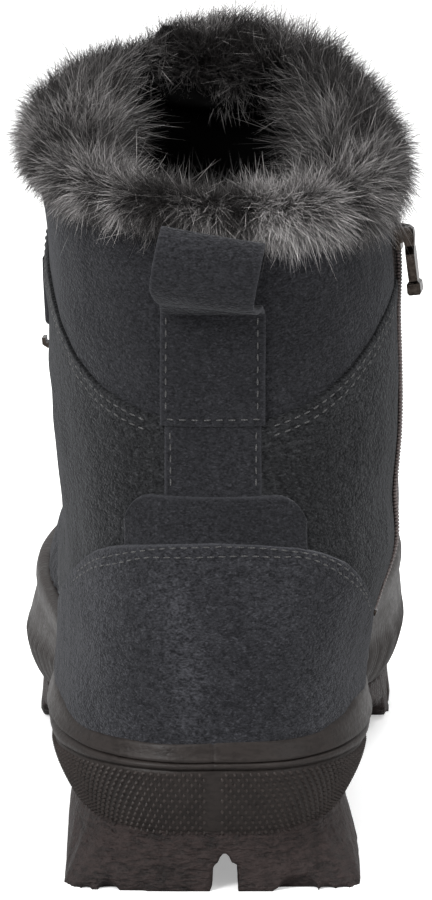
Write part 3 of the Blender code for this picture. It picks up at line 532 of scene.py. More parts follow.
def suede(name, dark, light, mottle=800.0, fibre=1900.0, bump=0.7):
    """Napped leather between two colours, lighter along raw edges, with painted shade where an edge tucks
    under.
    """
    made, wires, shader = new_material(name, 0.95, specular=0.03, sheen=0.12, sheen_roughness=0.5,
                                       sheen_tint=(0.94, 0.96, 1.0))
    nap = wires.node("ShaderNodeGroup", node_tree=GROUPS["nap"])
    nap.inputs["Mottle Scale"].default_value = mottle
    nap.inputs["Fibre Scale"].default_value = fibre
    colour = wires.mix(nap.outputs["Shade"], dark, light)
    # the second tint is painted shade along edges that tuck under
    for edge, tint in (("raw_edge", scaled(light, 0.95)), ("under_edge", scaled(dark, 0.25))):
        colour = wires.mix(wires.times(wires.attribute(edge), 0.7), colour, tint)
    wires.join(shader, Base_Color=colour, Normal=wires.bump(nap.outputs["Height"], bump, 0.0009))
    return made


def rubber(name, dark, light, pebble, bump, roughness):
    """Moulded rubber between two colours, and between two roughnesses."""
    made, wires, shader = new_material(name, 0.5, specular=0.2)
    grain = wires.node("ShaderNodeGroup", node_tree=GROUPS["grain"])
    grain.inputs["Pebble Scale"].default_value = pebble
    shade = grain.outputs["Shade"]
    wires.join(shader, Base_Color=wires.mix(shade, dark, light),
               Roughness=wires.spread(shade, 0.0, 1.0, *roughness),
               Normal=wires.bump(grain.outputs["Height"], bump, 0.0004))
    return made


def fur(name, root, middle, tip, specular):
    """Hair that is dark at its root and silvery at its tip, by each strand's own tone, with painted light and
    shade mixed into that tone.
    """
    made, wires, shader = new_material(name, 0.5, specular=specular)
    along, tone = wires.attribute("along"), wires.attribute("tone")
    body = wires.mix(wires.spread(tone, 0.0, 0.6), scaled(middle, 0.45), middle)
    lower = wires.mix(wires.spread(along, 0.1, 0.6), root, body)
    reach = wires.times(wires.spread(along, 0.45, 1.0), tone)
    wires.join(shader, Base_Color=wires.mix(reach, lower, tip))
    return made


def metal(name, colour, worn, roughness):
    """Dark plated metal, cloudy where it has been handled."""
    made, wires, shader = new_material(name, roughness, metallic=1.0)
    where = wires.places()
    cloud = wires.noise(where, 900.0, 4.0, 0.6)
    wires.join(shader, Base_Color=wires.mix(wires.spread(cloud, 0.35, 0.65), colour, worn),
               Roughness=wires.spread(cloud, 0.3, 0.7, roughness * 0.8, roughness * 1.3))
    return made


def woven(name, dark, light, pitch=0.0007):
    """Woven tape or braid: two sets of fine ribs at right angles."""
    made, wires, shader = new_material(name, 0.85, specular=0.2, sheen=0.2)
    where = wires.places()
    turned = wires.node("ShaderNodeMapping", {"Vector": where, "Rotation": (0.7, 0.6, 0.8)}).outputs[0]
    bands = [wires.node("ShaderNodeTexWave", {"Vector": turned, "Scale": 0.314 / pitch, "Distortion": 1.5},
                        bands_direction=axis).outputs["Fac"] for axis in ("X", "Y")]
    weave = wires.times(bands[0], bands[1])
    wires.join(shader, Base_Color=wires.mix(weave, dark, light), Normal=wires.bump(weave, 0.5, 0.0003))
    return made


FINISH = {
    "suede": suede("suede", (0.0088, 0.0089, 0.0101, 1.0), (0.0385, 0.0389, 0.0440, 1.0)),
    "heel_suede": suede("heel_suede", (0.0096, 0.0097, 0.0112, 1.0), (0.0545, 0.0550, 0.0620, 1.0), 640.0,
                        1900.0, 0.9),
    "coarse_suede": suede("coarse_suede", (0.0048, 0.0049, 0.0053, 1.0), (0.0415, 0.0425, 0.0450, 1.0), 640.0,
                          1700.0, 0.9),
    "rubber": rubber("rubber", (0.0105, 0.0080, 0.0072, 1.0), (0.0215, 0.0170, 0.0154, 1.0), 900.0, 0.3,
                     (0.36, 0.5)),
    # a lighter copy of the cup's rubber: painted highlights on the dots' tips
    "dot_rubber": rubber("dot_rubber", (0.017, 0.0128, 0.0117, 1.0), (0.031, 0.0245, 0.0222, 1.0), 900.0, 0.1,
                         (0.34, 0.42)),
    "heel_rubber": rubber("heel_rubber", (0.0030, 0.0020, 0.0018, 1.0), (0.0300, 0.0208, 0.0196, 1.0), 620.0,
                          2.2, (0.40, 0.58)),
    "fur": fur("fur", (0.004, 0.0034, 0.0032, 1.0), (0.042, 0.0375, 0.0365, 1.0), (1.0, 0.965, 0.955, 1.0),
               0.35),
    "lining": fur("lining", grey(0.003), grey(0.005), grey(0.012), 0.0),
    "metal": metal("metal", (0.018, 0.014, 0.012, 1.0), (0.070, 0.058, 0.050, 1.0), 0.22),
    "thread": woven("thread", grey(0.05), grey(0.12), 0.0004),
    "tape": woven("tape", (0.018, 0.014, 0.0135, 1.0), (0.062, 0.050, 0.048, 1.0)),
    "coil": rubber("coil", (0.052, 0.040, 0.038, 1.0), (0.130, 0.104, 0.100, 1.0), 900.0, 0.1, (0.3, 0.45)),
    "lace": woven("lace", grey(0.012), grey(0.05), 0.0011),
    "felt": woven("felt", grey(0.02), grey(0.05), 0.0016),
}

# ---------------------------------------------------------------- overlays of suede


EDGE_STEPS = np.array([0.0, 0.12, 0.3, 0.55, 0.9, 1.4])     # in from an edge that rolls over


def bunched(count, length, low_roll, high_roll):
    """count + 1 values from 0 to 1, closer together at the ends that roll over."""
    close, near = EDGE_STEPS / length, len(EDGE_STEPS) - 1
    first, start = (near, close[near]) if low_roll else (0, 0.0)
    last, end = (count - near, 1 - close[near]) if high_roll else (count, 1.0)
    values = np.empty(count + 1)
    values[first:last + 1] = np.linspace(start, end, last + 1 - first)
    if low_roll:
        values[:near + 1] = close
    if high_roll:
        values[-near - 1:] = 1 - close[::-1]
    return values


ROLL = 1.1                    # how far from its edge an overlay reaches its full height
TUCK = 0.5                    # how far an overlay's edge dips into what it lies on
ON_EDGE = 0.01                # nearer than this to an edge counts as on it


def overlay(name, columns, rows, size, outline, lift, finish, rolls, nodes=(), from_front=False,
            relief=None, cut_edge=True, brushed=None, outward=True):
    """A panel of suede on the upper. outline takes across and along, from 0 to 1, and gives distances round
    and heights. rolls names the edges that turn down: left, right, top, bottom. size is in millimetres."""
    width, height = size
    across_at = bunched(columns, width, "l" in rolls, "r" in rolls)
    along_at = bunched(rows, height, "b" in rolls, "t" in rolls)

    def shape(across, along):
        across = np.interp(across, np.linspace(0, 1, columns + 1), across_at)
        along = np.interp(along, np.linspace(0, 1, rows + 1), along_at)
        distance, z = outline(across, along)
        inside = np.full(len(across), 1e3)
        for key, gap in (("l", across * width), ("r", (1 - across) * width), ("b", along * height),
                         ("t", (1 - along) * height)):
            if key in rolls:
                inside = np.minimum(inside, gap)
        rise = np.clip(inside / ROLL, 0, 1)
        offset = lift * np.sqrt(1 - (1 - rise) ** 2) - TUCK * (inside < ON_EDGE)
        if relief is not None:
            offset = offset + relief(distance, z) * rise
        points = on_shell(distance, z, offset, from_front)
        pale = smooth(inside, 0.1, 0.35) * (1 - smooth(inside, 0.55, 1.1)) * cut_edge
        # painted shade at the very edge, where the panel tucks into what it lies on
        attributes = {"raw_edge": pale, "under_edge": 1 - smooth(inside, 0.05, 0.35)}
        if brushed is not None:
            attributes["brushed"] = brushed(distance, z)
        return points, attributes

    mesh = grid_mesh(name, columns, rows, shape, outward)
    finish_piece(name, mesh, finish, nodes)


def rim_height(distance):
    """Height of the rubber rim's upper edge at distances round from the heel line."""
    heights = np.empty(np.shape(distance))
    for side, here in by_side(distance):
        share = np.abs(distance[here]) / side_length(side, RIM)
        heights[here] = shell_at(side, np.full(share.shape, RIM), share)[0][:, 2]
    return heights


# upper edges: distance round from the heel line, and height
COUNTER_EDGE = np.array([
    (-82.0, 47.0), (-76.0, 56.7), (-67.0, 63.0), (-59.5, 67.0), (-48.0, 73.4), (-41.0, 76.8), (-35.0, 79.4),
    (-28.0, 81.6), (-21.0, 83.2), (-10.0, 84.6), (0.0, 85.2), (10.0, 84.6), (20.0, 83.2), (27.0, 81.0),
    (34.5, 77.8), (42.0, 72.6), (50.0, 66.6), (57.0, 60.6), (62.0, 53.0), (64.5, 44.0),
])
YOKE_EDGE = np.array([
    (-120.0, 168.0), (-100.0, 156.0), (-80.0, 145.0), (-64.0, 137.0), (-54.0, 131.5), (-47.0, 127.0),
    (-42.0, 124.4), (-36.5, 121.9), (-29.5, 119.2), (-23.0, 117.2), (-18.5, 115.8), (-13.0, 114.6),
    (0.0, 113.4), (13.0, 113.8), (17.5, 114.9), (23.0, 116.6), (26.0, 117.9), (32.0, 120.7), (38.5, 124.2),
    (44.0, 127.7), (52.0, 132.6), (56.5, 135.4), (62.0, 139.0), (80.0, 151.0), (100.0, 163.0),
])
COUNTER_LIFT, QUARTER_LIFT, TAB_LIFT = 2.3, 0.9, 1.75
TAB_HALF, TAB_TOP, TAB_LOW, TAB_CORNER = 23.2, 95.9, 78.0, 9.0
UNDER_RIM = 3.0               # how far the suede runs down behind the rubber rim
UNDER_COUNTER = 6.0           # how far the quarters run down under the counter
QUARTER_BACK = 11.5           # distance round at which both quarters start, under the backstay
QUARTER_FRONT = 118.0         # distance round at which the lateral quarter ends
QUARTER_LEAST = 48.0          # the medial quarter's least height
COUNTER_END = -80.0           # distance round beyond which the lateral quarter runs down to the rim


def edge_at(edge, distance):
    """Height of an edge at distances round."""
    return np.interp(distance, edge[:, 0], edge[:, 1])


def make_counter():
    """Heel counter: a panel that stands proud, from under the rim up to its own curved edge."""
    low, high = COUNTER_EDGE[0, 0], COUNTER_EDGE[-1, 0]

    def outline(across, along):
        distance = low + (high - low) * across
        foot = rim_height(distance) - UNDER_RIM
        top = edge_at(COUNTER_EDGE, distance)
        return distance, foot + (np.maximum(top, foot + 1.0) - foot) * along

    def strokes(distance, z):
        """Where the nap has been rubbed up: a light stroke down the middle, others at the sides."""
        sway = distance + 0.12 * (z - 60.0)
        middle = np.exp(-(((sway + 7.0) / 5.0) ** 2)) * smooth(z, 36.0, 50.0) * (1 - smooth(z, 70.0, 80.0))
        left = 0.5 * np.exp(-(((sway + 30.0) / 9.0) ** 2))
        right = 0.25 * np.exp(-(((sway - 27.0) / 8.0) ** 2))
        dull = -0.45 * np.exp(-(((sway - 6.0) / 8.0) ** 2)) * (1 - smooth(z, 58.0, 74.0))
        return middle + left + right + dull

    overlay("heel_cover", 220, 90, (high - low, 45.0), outline, COUNTER_LIFT, "heel_suede", "lrt",
            ["heel_counter"], relief=panel_relief, brushed=strokes)


def make_back_tab():
    """Tab above the counter at the heel line, with rounded upper corners."""
    def outline(across, along):
        distance = (2 * across - 1) * TAB_HALF
        over = np.maximum(np.abs(distance) - (TAB_HALF - TAB_CORNER), 0.0)
        top = TAB_TOP - (TAB_CORNER - np.sqrt(np.maximum(TAB_CORNER**2 - over**2, 0.0))) * 1.15
        return distance, TAB_LOW + (top - TAB_LOW) * along

    overlay("back_tab", 90, 40, (2 * TAB_HALF, 18.0), outline, TAB_LIFT, "suede", "lrt",
            relief=panel_relief)


# height and y of the zip's middle line
ZIP_LINE = np.array([(52.0, 54.0), (60.0, 54.0), (72.0, 54.5), (88.0, 55.0), (110.0, 55.5), (135.0, 54.0),
                     (200.0, 52.0)])
ZIP_HALF = 4.0


def zip_distance(z):
    """Distance round of the zip's middle line at heights."""
    return side_distance(MEDIAL, np.interp(z, ZIP_LINE[:, 0], ZIP_LINE[:, 1]), z)


def make_quarters():
    """The coarse side panels, lapped over the yoke along the yoke's seam."""
    heights = np.linspace(44.0, 170.0, 40)
    zip_edge = np.column_stack([heights, zip_distance(heights) - ZIP_HALF + 0.4])

    def medial(across, along):
        z = 52.0 + 60.0 * along
        for _ in range(4):                # the zip's edge leans, so width and height are found together
            high = edge_at(zip_edge, z)
            distance = QUARTER_BACK + (high - QUARTER_BACK) * across
            foot = np.maximum(edge_at(COUNTER_EDGE, distance) - UNDER_COUNTER, QUARTER_LEAST)
            z = foot + (edge_at(YOKE_EDGE, distance) - foot) * along
        return distance, z

    def lateral(across, along):
        distance = -QUARTER_BACK - (QUARTER_FRONT - QUARTER_BACK) * (1 - across)
        rim = rim_height(distance) - UNDER_RIM
        foot = np.where(distance > COUNTER_END, edge_at(COUNTER_EDGE, distance) - UNDER_COUNTER, rim)
        foot = np.maximum(foot, rim)
        return distance, foot + (edge_at(YOKE_EDGE, distance) - foot) * along

    overlay("quarter_medial", 72, 84, (52.0, 50.0), medial, QUARTER_LIFT, "coarse_suede", "rt",
            relief=panel_relief, cut_edge=False)
    overlay("quarter_lateral", 140, 100, (106.0, 60.0), lateral, QUARTER_LIFT, "coarse_suede", "t",
            relief=panel_relief, cut_edge=False)


# ---------------------------------------------------------------- the upper

SLOT_BACK, SLOT_FRONT = 5.0, 4.2      # from the zip's middle line to the suede's edges
SLOT_DEPTH = 2.0
SLOT_RISE = 7.0                       # height over which the slot opens out at its foot
ZIP_LOW, ZIP_TOP = 57.0, 157.0
BACK_STEPS, SLOT_STEPS, FORE_STEPS, THROAT_STEPS = 64, 8, 84, 12
SIDE_STEPS = BACK_STEPS + SLOT_STEPS + FORE_STEPS

Crease = namedtuple("Crease", "side y1 z1 y2 z2 depth width")
CREASES = [
    Crease(MEDIAL, 196, 82, 150, 52, 1.6, 4.0),
    Crease(MEDIAL, 178, 92, 138, 62, 1.2, 3.5),
    Crease(MEDIAL, 132, 104, 96, 92, 1.3, 4.5),
    Crease(MEDIAL, 120, 124, 90, 112, 0.9, 5.0),
    Crease(LATERAL, 194, 80, 148, 50, 1.4, 4.0),
    Crease(LATERAL, 176, 90, 134, 60, 1.3, 3.5),
    Crease(LATERAL, 130, 102, 92, 88, 1.4, 4.5),
    Crease(LATERAL, 118, 122, 70, 108, 1.0, 5.5),
    Crease(LATERAL, 100, 136, 62, 130, 0.7, 5.0),
]


def crease_relief(points):
    """Soft troughs with a ridge above each, where the boot bends."""
    total = np.zeros(len(points))
    for crease in CREASES:
        start, end = np.array([crease.y1, crease.z1]), np.array([crease.y2, crease.z2])
        run = end - start
        flat = points[:, 1:] - start
        along = np.clip(flat @ run / (run @ run), -0.3, 1.3)
        bow = np.array([-run[1], run[0]]) * 0.12 * (1 - (2 * along - 1) ** 2)[:, None]
        away = flat - along[:, None] * run - bow
        square = np.array([run[1], -run[0]]) / np.linalg.norm(run)
        across = away @ square / crease.width
        fade = smooth(along, -0.25, 0.3) * (1 - smooth(along, 0.7, 1.25))
        fade = fade * (np.sign(points[:, 0]) == crease.side)
        trough = -np.exp(-(across**2)) + 0.55 * np.exp(-((across - 1.7) ** 2)) + 0.4 * np.exp(
            -((across + 1.8) ** 2))
        total += crease.depth * fade * trough
    return total


def vamp_puckers(points):
    """Small gathers where the suede is pulled down into the rubber rim."""
    forward = smooth(points[:, 1], 90.0, 130.0)
    low = 1 - smooth(points[:, 2], 42.0, 56.0)
    run = points[:, 1] * 0.9 + np.abs(points[:, 0]) * 0.7 + 2.0 * wobble(points, 21.0, 11)
    return 0.45 * forward * low * np.sin(run * 2 * math.pi / 6.5)


def upper_relief(points):
    """How far the suede swells or dips at places on the upper, in millimetres."""
    return (0.4 * wobble(points, 38.0, 3) + 0.16 * wobble(points, 13.0, 4) + crease_relief(points)
            + vamp_puckers(points))


def panel_relief(distance, z):
    """The upper's relief at distances round from the heel line and heights."""
    return upper_relief(on_shell(distance, z))


def front_relief(distance, z):
    """The upper's relief at distances round from the front line and heights."""
    return upper_relief(on_shell(distance, z, 0.0, True))


def zip_shares():
    """Share of the way round of the zip's middle line at each of the table's levels."""
    share = np.full(len(LEVELS), 0.3)
    for _ in range(30):
        places = shell_at(MEDIAL, LEVELS, share)[0]
        target = np.interp(places[:, 2], ZIP_LINE[:, 0], ZIP_LINE[:, 1])
        share = np.clip(share + 0.8 * (target - places[:, 1]) / side_length(MEDIAL, LEVELS), 0.05, 0.6)
    return share


ZIP_SHARES = zip_shares()


def shell_columns(level, step, side):
    """(share, offset, raw edge) for whole steps round from the heel line."""
    edge = throat_share(side, level)
    raw = np.exp(-((step - SIDE_STEPS) / 0.6) ** 2) * (level > THROAT_END)
    if side == LATERAL:
        share = np.where(step <= SIDE_STEPS, edge * step / SIDE_STEPS,
                         edge + (1 - edge) * (step - SIDE_STEPS) / THROAT_STEPS)
        return share, np.zeros(len(step)), raw
    whole = side_length(side, level)
    middle = np.interp(level, LEVELS, ZIP_SHARES)
    height = shell_at(side, level, middle)[0][:, 2]
    wide = smooth(height, ZIP_LOW - 2.0, ZIP_LOW - 2.0 + SLOT_RISE)
    back, front = middle - SLOT_BACK * wide / whole, middle + SLOT_FRONT * wide / whole
    thin = 0.25 * wide / whole
    stops = [0, BACK_STEPS, BACK_STEPS + 1, BACK_STEPS + SLOT_STEPS - 1, BACK_STEPS + SLOT_STEPS, SIDE_STEPS,
             SIDE_STEPS + THROAT_STEPS]
    values = [np.zeros(len(step)), back, back + thin, front - thin, front, edge, np.ones(len(step))]
    share = np.zeros(len(step))
    for k in range(6):
        here = (step >= stops[k]) & (step <= stops[k + 1])
        t = (step - stops[k]) / (stops[k + 1] - stops[k])
        share = np.where(here, values[k] + (values[k + 1] - values[k]) * t, share)
    inside = (step > BACK_STEPS) & (step < BACK_STEPS + SLOT_STEPS)
    edges = (step == BACK_STEPS) | (step == BACK_STEPS + SLOT_STEPS)
    offset = np.where(inside, -SLOT_DEPTH * wide, np.where(edges, -0.3 * wide, 0.0))
    return share, offset, np.maximum(raw, edges * wide)


SHELL_LOW, SHELL_ROWS = 0.45, 132     # level of the suede's lower edge, and its rows of faces
LINING_LOW = 0.3


def make_shell():
    """The suede itself: one sheet from under the rubber rim to the collar, open at throat and zip."""
    half = SIDE_STEPS + THROAT_STEPS
    columns = 2 * half

    def shape(across, along):
        column = np.round(across * columns) - half
        level = SHELL_LOW + (COLLAR - SHELL_LOW) * along
        points, offset, raw = np.empty((len(column), 3)), np.empty(len(column)), np.empty(len(column))
        normals = np.empty((len(column), 3))
        for side, here in by_side(column):
            share, offset[here], raw[here] = shell_columns(level[here], np.abs(column[here]), side)
            points[here], normals[here] = shell_at(side, level[here], share)
        points = points + normals * (offset + upper_relief(points))[:, None]
        return points, {"raw_edge": raw}

    def open_throat(maker):
        throat_row = math.ceil((THROAT_END - SHELL_LOW) / (COLLAR - SHELL_LOW) * SHELL_ROWS)
        holes = []
        for face in maker.faces:
            cells = [divmod(v.index, columns + 1) for v in face.verts]
            row, column = min(c[0] for c in cells), min(c[1] for c in cells)
            if row >= throat_row and (column < THROAT_STEPS or column >= columns - THROAT_STEPS):
                holes.append(face)
        bmesh.ops.delete(maker, geom=holes, context="FACES")
        merge(maker)

    mesh = edited(grid_mesh("suede_upper", columns, SHELL_ROWS, shape), open_throat)
    finish_piece("suede_upper", mesh, "suede", ["upper"])


def make_lining():
    """Fleece lining inside the upper; it turns out over the throat's edges."""
    def shape(across, along):
        level = LINING_LOW + (COLLAR - LINING_LOW) * along
        turn = 2 * across - 1
        points = np.empty((len(turn), 3))
        for side, here in by_side(turn):
            share = np.abs(turn[here])
            edge = throat_share(side, level[here])
            edge = np.where(level[here] > THROAT_END, edge, 1.0)
            p, n = shell_at(side, level[here], share * edge)
            lip = smooth(share, 0.985, 1.0) * (level[here] > THROAT_END)
            points[here] = p - n * ((WALL - 0.3) * (1 - lip))[:, None]
        return points

    mesh = grid_mesh("lining", 130, 46, shape, outward=False)
    finish_piece("lining", mesh, "lining")


# ---------------------------------------------------------------- facings, strap and side tab

FACING_WIDTH, FACING_LIFT = 19.0, 1.0
FACING_LOW, FACING_HIGH = 100.0, 176.0
FACING_SLANT = 7.0            # how much lower a facing's outer lower corner lies
NEAR_THROAT = 12.0            # about how far round the throat's edge lies


def beside_throat(side, z, inset):
    """Distances round from the front line, medial positive, of places an inset away from the throat."""
    level = level_at(side, np.full(len(z), NEAR_THROAT), z, True)[0]
    return (throat_half(level) + inset) * side


def make_facings():
    """The panels beside the throat that carry the lace hardware."""
    for side, name in ((MEDIAL, "facing_medial"), (LATERAL, "facing_lateral")):
        def outline(across, along, side=side):
            z = FACING_LOW + (FACING_HIGH - FACING_LOW) * along
            return beside_throat(side, z, FACING_WIDTH * across), z - FACING_SLANT * across * (1 - along)

        overlay(name, 30, 90, (FACING_WIDTH, 78.0), outline, FACING_LIFT, "suede", "lrb", from_front=True,
                relief=front_relief, outward=side == LATERAL)


STRIP_HALF, STRIP_WALL = 12.2, 1.3
STRIP_LOW, STRIP_JOIN, STRIP_HIGH = 90.0, 113.2, 140.0
LOOP_LINE = np.array([                # x, y, z and slant in degrees of the pull loop's middle line
    (-0.4, 5.2, 142.2, 3.0), (-1.6, 0.6, 143.0, 8.0), (-2.6, -2.8, 145.4, 11.0), (-2.2, -4.8, 149.4, 12.0),
    (-1.4, -5.2, 153.8, 12.0), (-0.6, -4.4, 157.6, 11.0), (0.0, -2.3, 159.6, 10.0), (-0.2, 0.2, 158.8, 9.0),
    (-0.6, 2.4, 156.0, 7.0), (-1.0, 5.4, 154.0, 5.0), (-1.2, 7.4, 151.6, 3.0),
])


def make_backstay():
    """Lower backstay: a strip up the heel line from under the tab to the yoke's seam."""
    def outline(across, along):
        return (2 * across - 1) * (STRIP_HALF - 0.4), STRIP_LOW + (STRIP_JOIN + 1.5 - STRIP_LOW) * along

    overlay("backstay", 40, 36, (2 * STRIP_HALF, 25.0), outline, 1.15, "suede", "lr", relief=panel_relief)


def make_strap():
    """The upper backstay and the pull loop: one strap that leaves the heel line and turns back under
    the fur."""
    columns = 34
    heights = np.linspace(STRIP_JOIN - 0.6, STRIP_HIGH, 40)
    loop = curve_through(LOOP_LINE, 90)
    rows = len(heights) + len(loop) - 1

    def shape(across, along):
        row = np.round(along * rows).astype(int)
        a = 2 * across - 1
        points = np.empty((len(row), 3))
        flat = row < len(heights)
        spot = a[flat] * STRIP_HALF, heights[row[flat]]
        points[flat] = on_shell(*spot, 1.0 + panel_relief(*spot))
        line = loop[row[~flat] - len(heights)]
        lean = a[~flat] * STRIP_HALF
        bulge = 1.2 * a[~flat] ** 2
        points[~flat] = np.column_stack([
            line[:, 0] + lean, line[:, 1] + bulge, line[:, 2] - lean * np.tan(np.radians(line[:, 3])),
        ])
        points[:, 1] += 0.12 * wobble(points, 9.0, 21)
        return points, {"raw_edge": smooth(np.abs(a), 0.93, 1.0)}

    mesh = grid_mesh("back_strap", columns, rows, shape)
    piece = finish_piece("back_strap", mesh, "suede", ["pull_loop"])
    wall = piece.modifiers.new("wall", "SOLIDIFY")
    wall.thickness, wall.offset = STRIP_WALL * MM, 0.0
    soft = piece.modifiers.new("soft edge", "BEVEL")
    soft.affect, soft.width, soft.segments = "EDGES", 0.25 * MM, 2
    soft.profile, soft.material = 0.5, -1


SIDE_TAB_Y, SIDE_TAB_HALF = 82.0, 8.0
SIDE_TAB_LOW, SIDE_TAB_HIGH = 124.0, 142.0


def make_side_tab():
    """Suede tab that holds the side hook, round at its lower end."""
    middle = -side_distance(LATERAL, np.array([SIDE_TAB_Y]), np.array([130.0]))[0]

    def outline(across, along):
        a = 2 * across - 1
        bottom = SIDE_TAB_LOW + 3.5 * (1 - np.sqrt(np.maximum(1 - a * a * 0.96, 0.0)))
        return middle + a * SIDE_TAB_HALF, bottom + (SIDE_TAB_HIGH - bottom) * along

    overlay("side_tab_suede", 30, 30, (16.0, 18.0), outline, 2.2, "suede", "lrb", ["side_tab"])


# ---------------------------------------------------------------- stitching

STITCH_LONG, STITCH_THICK, STITCH_PITCH = 1.75, 0.21, 2.65


def small_shape(build, *stretch):
    """(points, triangles) of a small shape from a bmesh call, stretched along x, y and z."""
    maker = bmesh.new()
    build(maker)
    bmesh.ops.triangulate(maker, faces=maker.faces)
    points = np.array([tuple(v.co) for v in maker.verts]) * np.array(stretch)
    corners = [[v.index for v in face.verts] for face in maker.faces]
    maker.free()
    # triangles come in another order on each run, so they are put in one of their own
    return points, np.array(sorted(c[c.index(min(c)):] + c[:c.index(min(c))] for c in corners))


def ball(across, along):
    """A call that makes a rough ball of unit size."""
    return lambda maker: bmesh.ops.create_uvsphere(maker, u_segments=across, v_segments=along, radius=1.0)


def rows_of_stitches(name, lines):
    """Stitches along lines of (distance, height, lift) on the suede, each dipping at both ends."""
    source = np.random.default_rng(len(name))
    stitch = small_shape(ball(6, 5), STITCH_THICK, STITCH_THICK, STITCH_LONG / 2)
    origins, axes = [], []
    for line, from_front in lines:
        line = curve_through(line, 160)
        lift = line[:, 2] + upper_relief(on_shell(line[:, 0], line[:, 1], 0.0, from_front))
        surface = on_shell(line[:, 0], line[:, 1], lift, from_front)
        middles = spaced(surface, STITCH_PITCH)
        inner = spaced(on_shell(line[:, 0], line[:, 1], lift - 1.0, from_front), STITCH_PITCH)
        count = min(len(middles), len(inner))
        middles, inner = middles[:count], inner[:count]
        run = unit(np.gradient(middles, axis=0) + source.normal(0, 0.12, (count, 3)))
        out = unit(middles - inner)
        side = unit(np.cross(run, out))
        origins.append(middles - out * 0.02)
        axes.append(np.stack([side, np.cross(run, side), run], axis=1))
    points, faces = copies(*stitch, np.vstack(origins), np.vstack(axes))
    finish_piece(name, mesh_from_arrays(name, points, faces), "thread")


def below(edge, low, high, drop):
    """A line that follows an edge at a distance below it, from one distance round to another."""
    return [(d, edge_at(edge, d) - drop) for d in np.linspace(low, high, 24)]


def upright(distance, low, high, count):
    """A line straight up, at one distance round."""
    return [(distance, z) for z in np.linspace(low, high, count)]


def level_row(height, low, high):
    """A line at one height, from one distance round to another."""
    return [(d, height) for d in np.linspace(low, high, 6)]


# the counter's two rows of stitches: distance round and height
COUNTER_ROW_LOW = [
    (-49.5, 68.8), (-36.5, 74.5), (-25.0, 77.8), (-15.5, 80.5), (-5.5, 81.2), (6.0, 81.6), (13.0, 81.1),
    (21.5, 80.2), (28.5, 77.1), (36.5, 72.6), (45.5, 67.2), (54.0, 60.8),
]
COUNTER_ROW_HIGH = [
    (-46.0, 71.9), (-35.5, 76.5), (-25.0, 79.8), (-17.5, 81.8), (-10.5, 83.1), (0.0, 83.8), (6.0, 83.7),
    (13.0, 83.0), (20.0, 81.6), (27.0, 79.6), (34.5, 75.6), (40.0, 71.8), (47.5, 66.4),
]
ON_COUNTER = COUNTER_LIFT + 0.05      # how far out the thread lies on each panel
ON_QUARTER, ON_STRAP, ON_BACKSTAY, ON_FACING = 0.95, 1.75, 1.2, 1.05


def make_stitching():
    """Rows of thread on the counter, yoke seam, quarter, strap, backstay and facings."""
    lines = [(COUNTER_ROW_LOW, ON_COUNTER), (COUNTER_ROW_HIGH, ON_COUNTER)]
    for drop in (1.9, 4.2):
        lines.append((below(YOKE_EDGE, -112.0, -13.6, drop), ON_QUARTER))
        lines.append((below(YOKE_EDGE, 14.0, 60.0, drop), ON_QUARTER))
    lines += [(upright(d, 48.0, 156.0, 30), ON_QUARTER) for d in (-116.4, -114.0)]
    lines += [(upright(d, 116.0, 139.5, 8), ON_STRAP) for d in (-10.7, 10.3)]
    lines += [(upright(d, 97.5, 111.5, 6), ON_BACKSTAY) for d in (-9.9, 10.1)]
    lines += [(level_row(140.6, -10.5, 10.5), ON_STRAP), (level_row(114.2, -11.0, 11.5), ON_STRAP)]
    rows = [([(d, z, lift) for d, z in line], False) for line, lift in lines]
    for side in (MEDIAL, LATERAL):
        for inset in (2.0, FACING_WIDTH - 2.0):
            heights = np.linspace(FACING_LOW + 2.0, 172.0, 14)
            line = [(d, z - 5.0 * (inset / FACING_WIDTH) * (1 - (z - FACING_LOW) / 76.0), ON_FACING)
                    for d, z in zip(beside_throat(side, heights, inset), heights)]
            rows.append((line, True))
    rows_of_stitches("stitching", rows)


# ---------------------------------------------------------------- rubber cup

SoleLevel = namedtuple("SoleLevel", "inset_heel inset_ball heel_z waist_z ball_z toe_z")
SOLE_LEVELS = [
    SoleLevel(5.6, 4.6, 16.2, 18.8, 14.0, 20.5),
    SoleLevel(3.2, 2.6, 20.6, 21.6, 17.0, 23.0),
    SoleLevel(1.1, 1.1, 25.4, 25.2, 21.0, 27.0),
    SoleLevel(0.0, 0.0, 30.2, 29.2, 25.2, 31.0),
]
WALL_STOPS = [0.0, 1 / 3, 2 / 3, 1.0]
HEEL_SAG = [3.3, 1.7, 0.4, -0.4]         # how far each level dips at the sole's rearmost point
SHANK_TRIM = {MEDIAL: 1.7, LATERAL: 2.3}
RIM_FOOT, RIM_TOP = 0.78, 1.24          # levels of the rubber rim's lower and upper edges
RIM_OUT = 3.0
LEVEL_RISE = 12.0                       # millimetres from one low level of the last to the next
# how far the rim's upper edge runs below its level: distance round from the heel line, and drop
RIM_DROP = np.array([
    (-90.0, 0.0), (-60.0, 0.4), (-48.0, 1.6), (-41.0, 2.6), (-34.0, 2.9), (-27.0, 2.6), (-20.0, 2.1),
    (-12.0, 2.0), (-6.0, 1.7), (0.0, 1.2), (6.0, 1.2), (12.0, 1.4), (20.0, 1.7), (26.0, 1.6), (32.0, 0.8),
    (38.0, 0.0), (46.0, -1.6), (60.0, -1.0), (90.0, 0.0),
])
HEEL_END_Y, SHANK_Y, BALL_Y, SPRING_Y, TOE_Y = 55.0, 115.0, 175.0, 195.0, 272.0
DOTTED_END = 80.0                       # y where the heel's dots end and the flutes begin


def sole_height(level, y):
    """Height of one level of the sole's side along y, level at the heel and springing up at the toe."""
    rear = level.heel_z + (level.waist_z - level.heel_z) * smooth(y, HEEL_END_Y, SHANK_Y)
    mid = level.waist_z + (level.ball_z - level.waist_z) * smooth(y, SHANK_Y, BALL_Y)
    spring = np.clip((y - SPRING_Y) / (TOE_Y - SPRING_Y), 0.0, 1.0) ** 1.6
    fore = level.ball_z + (level.toe_z - level.ball_z) * spring
    return np.where(y < SHANK_Y, rear, np.where(y < BALL_Y, mid, fore))


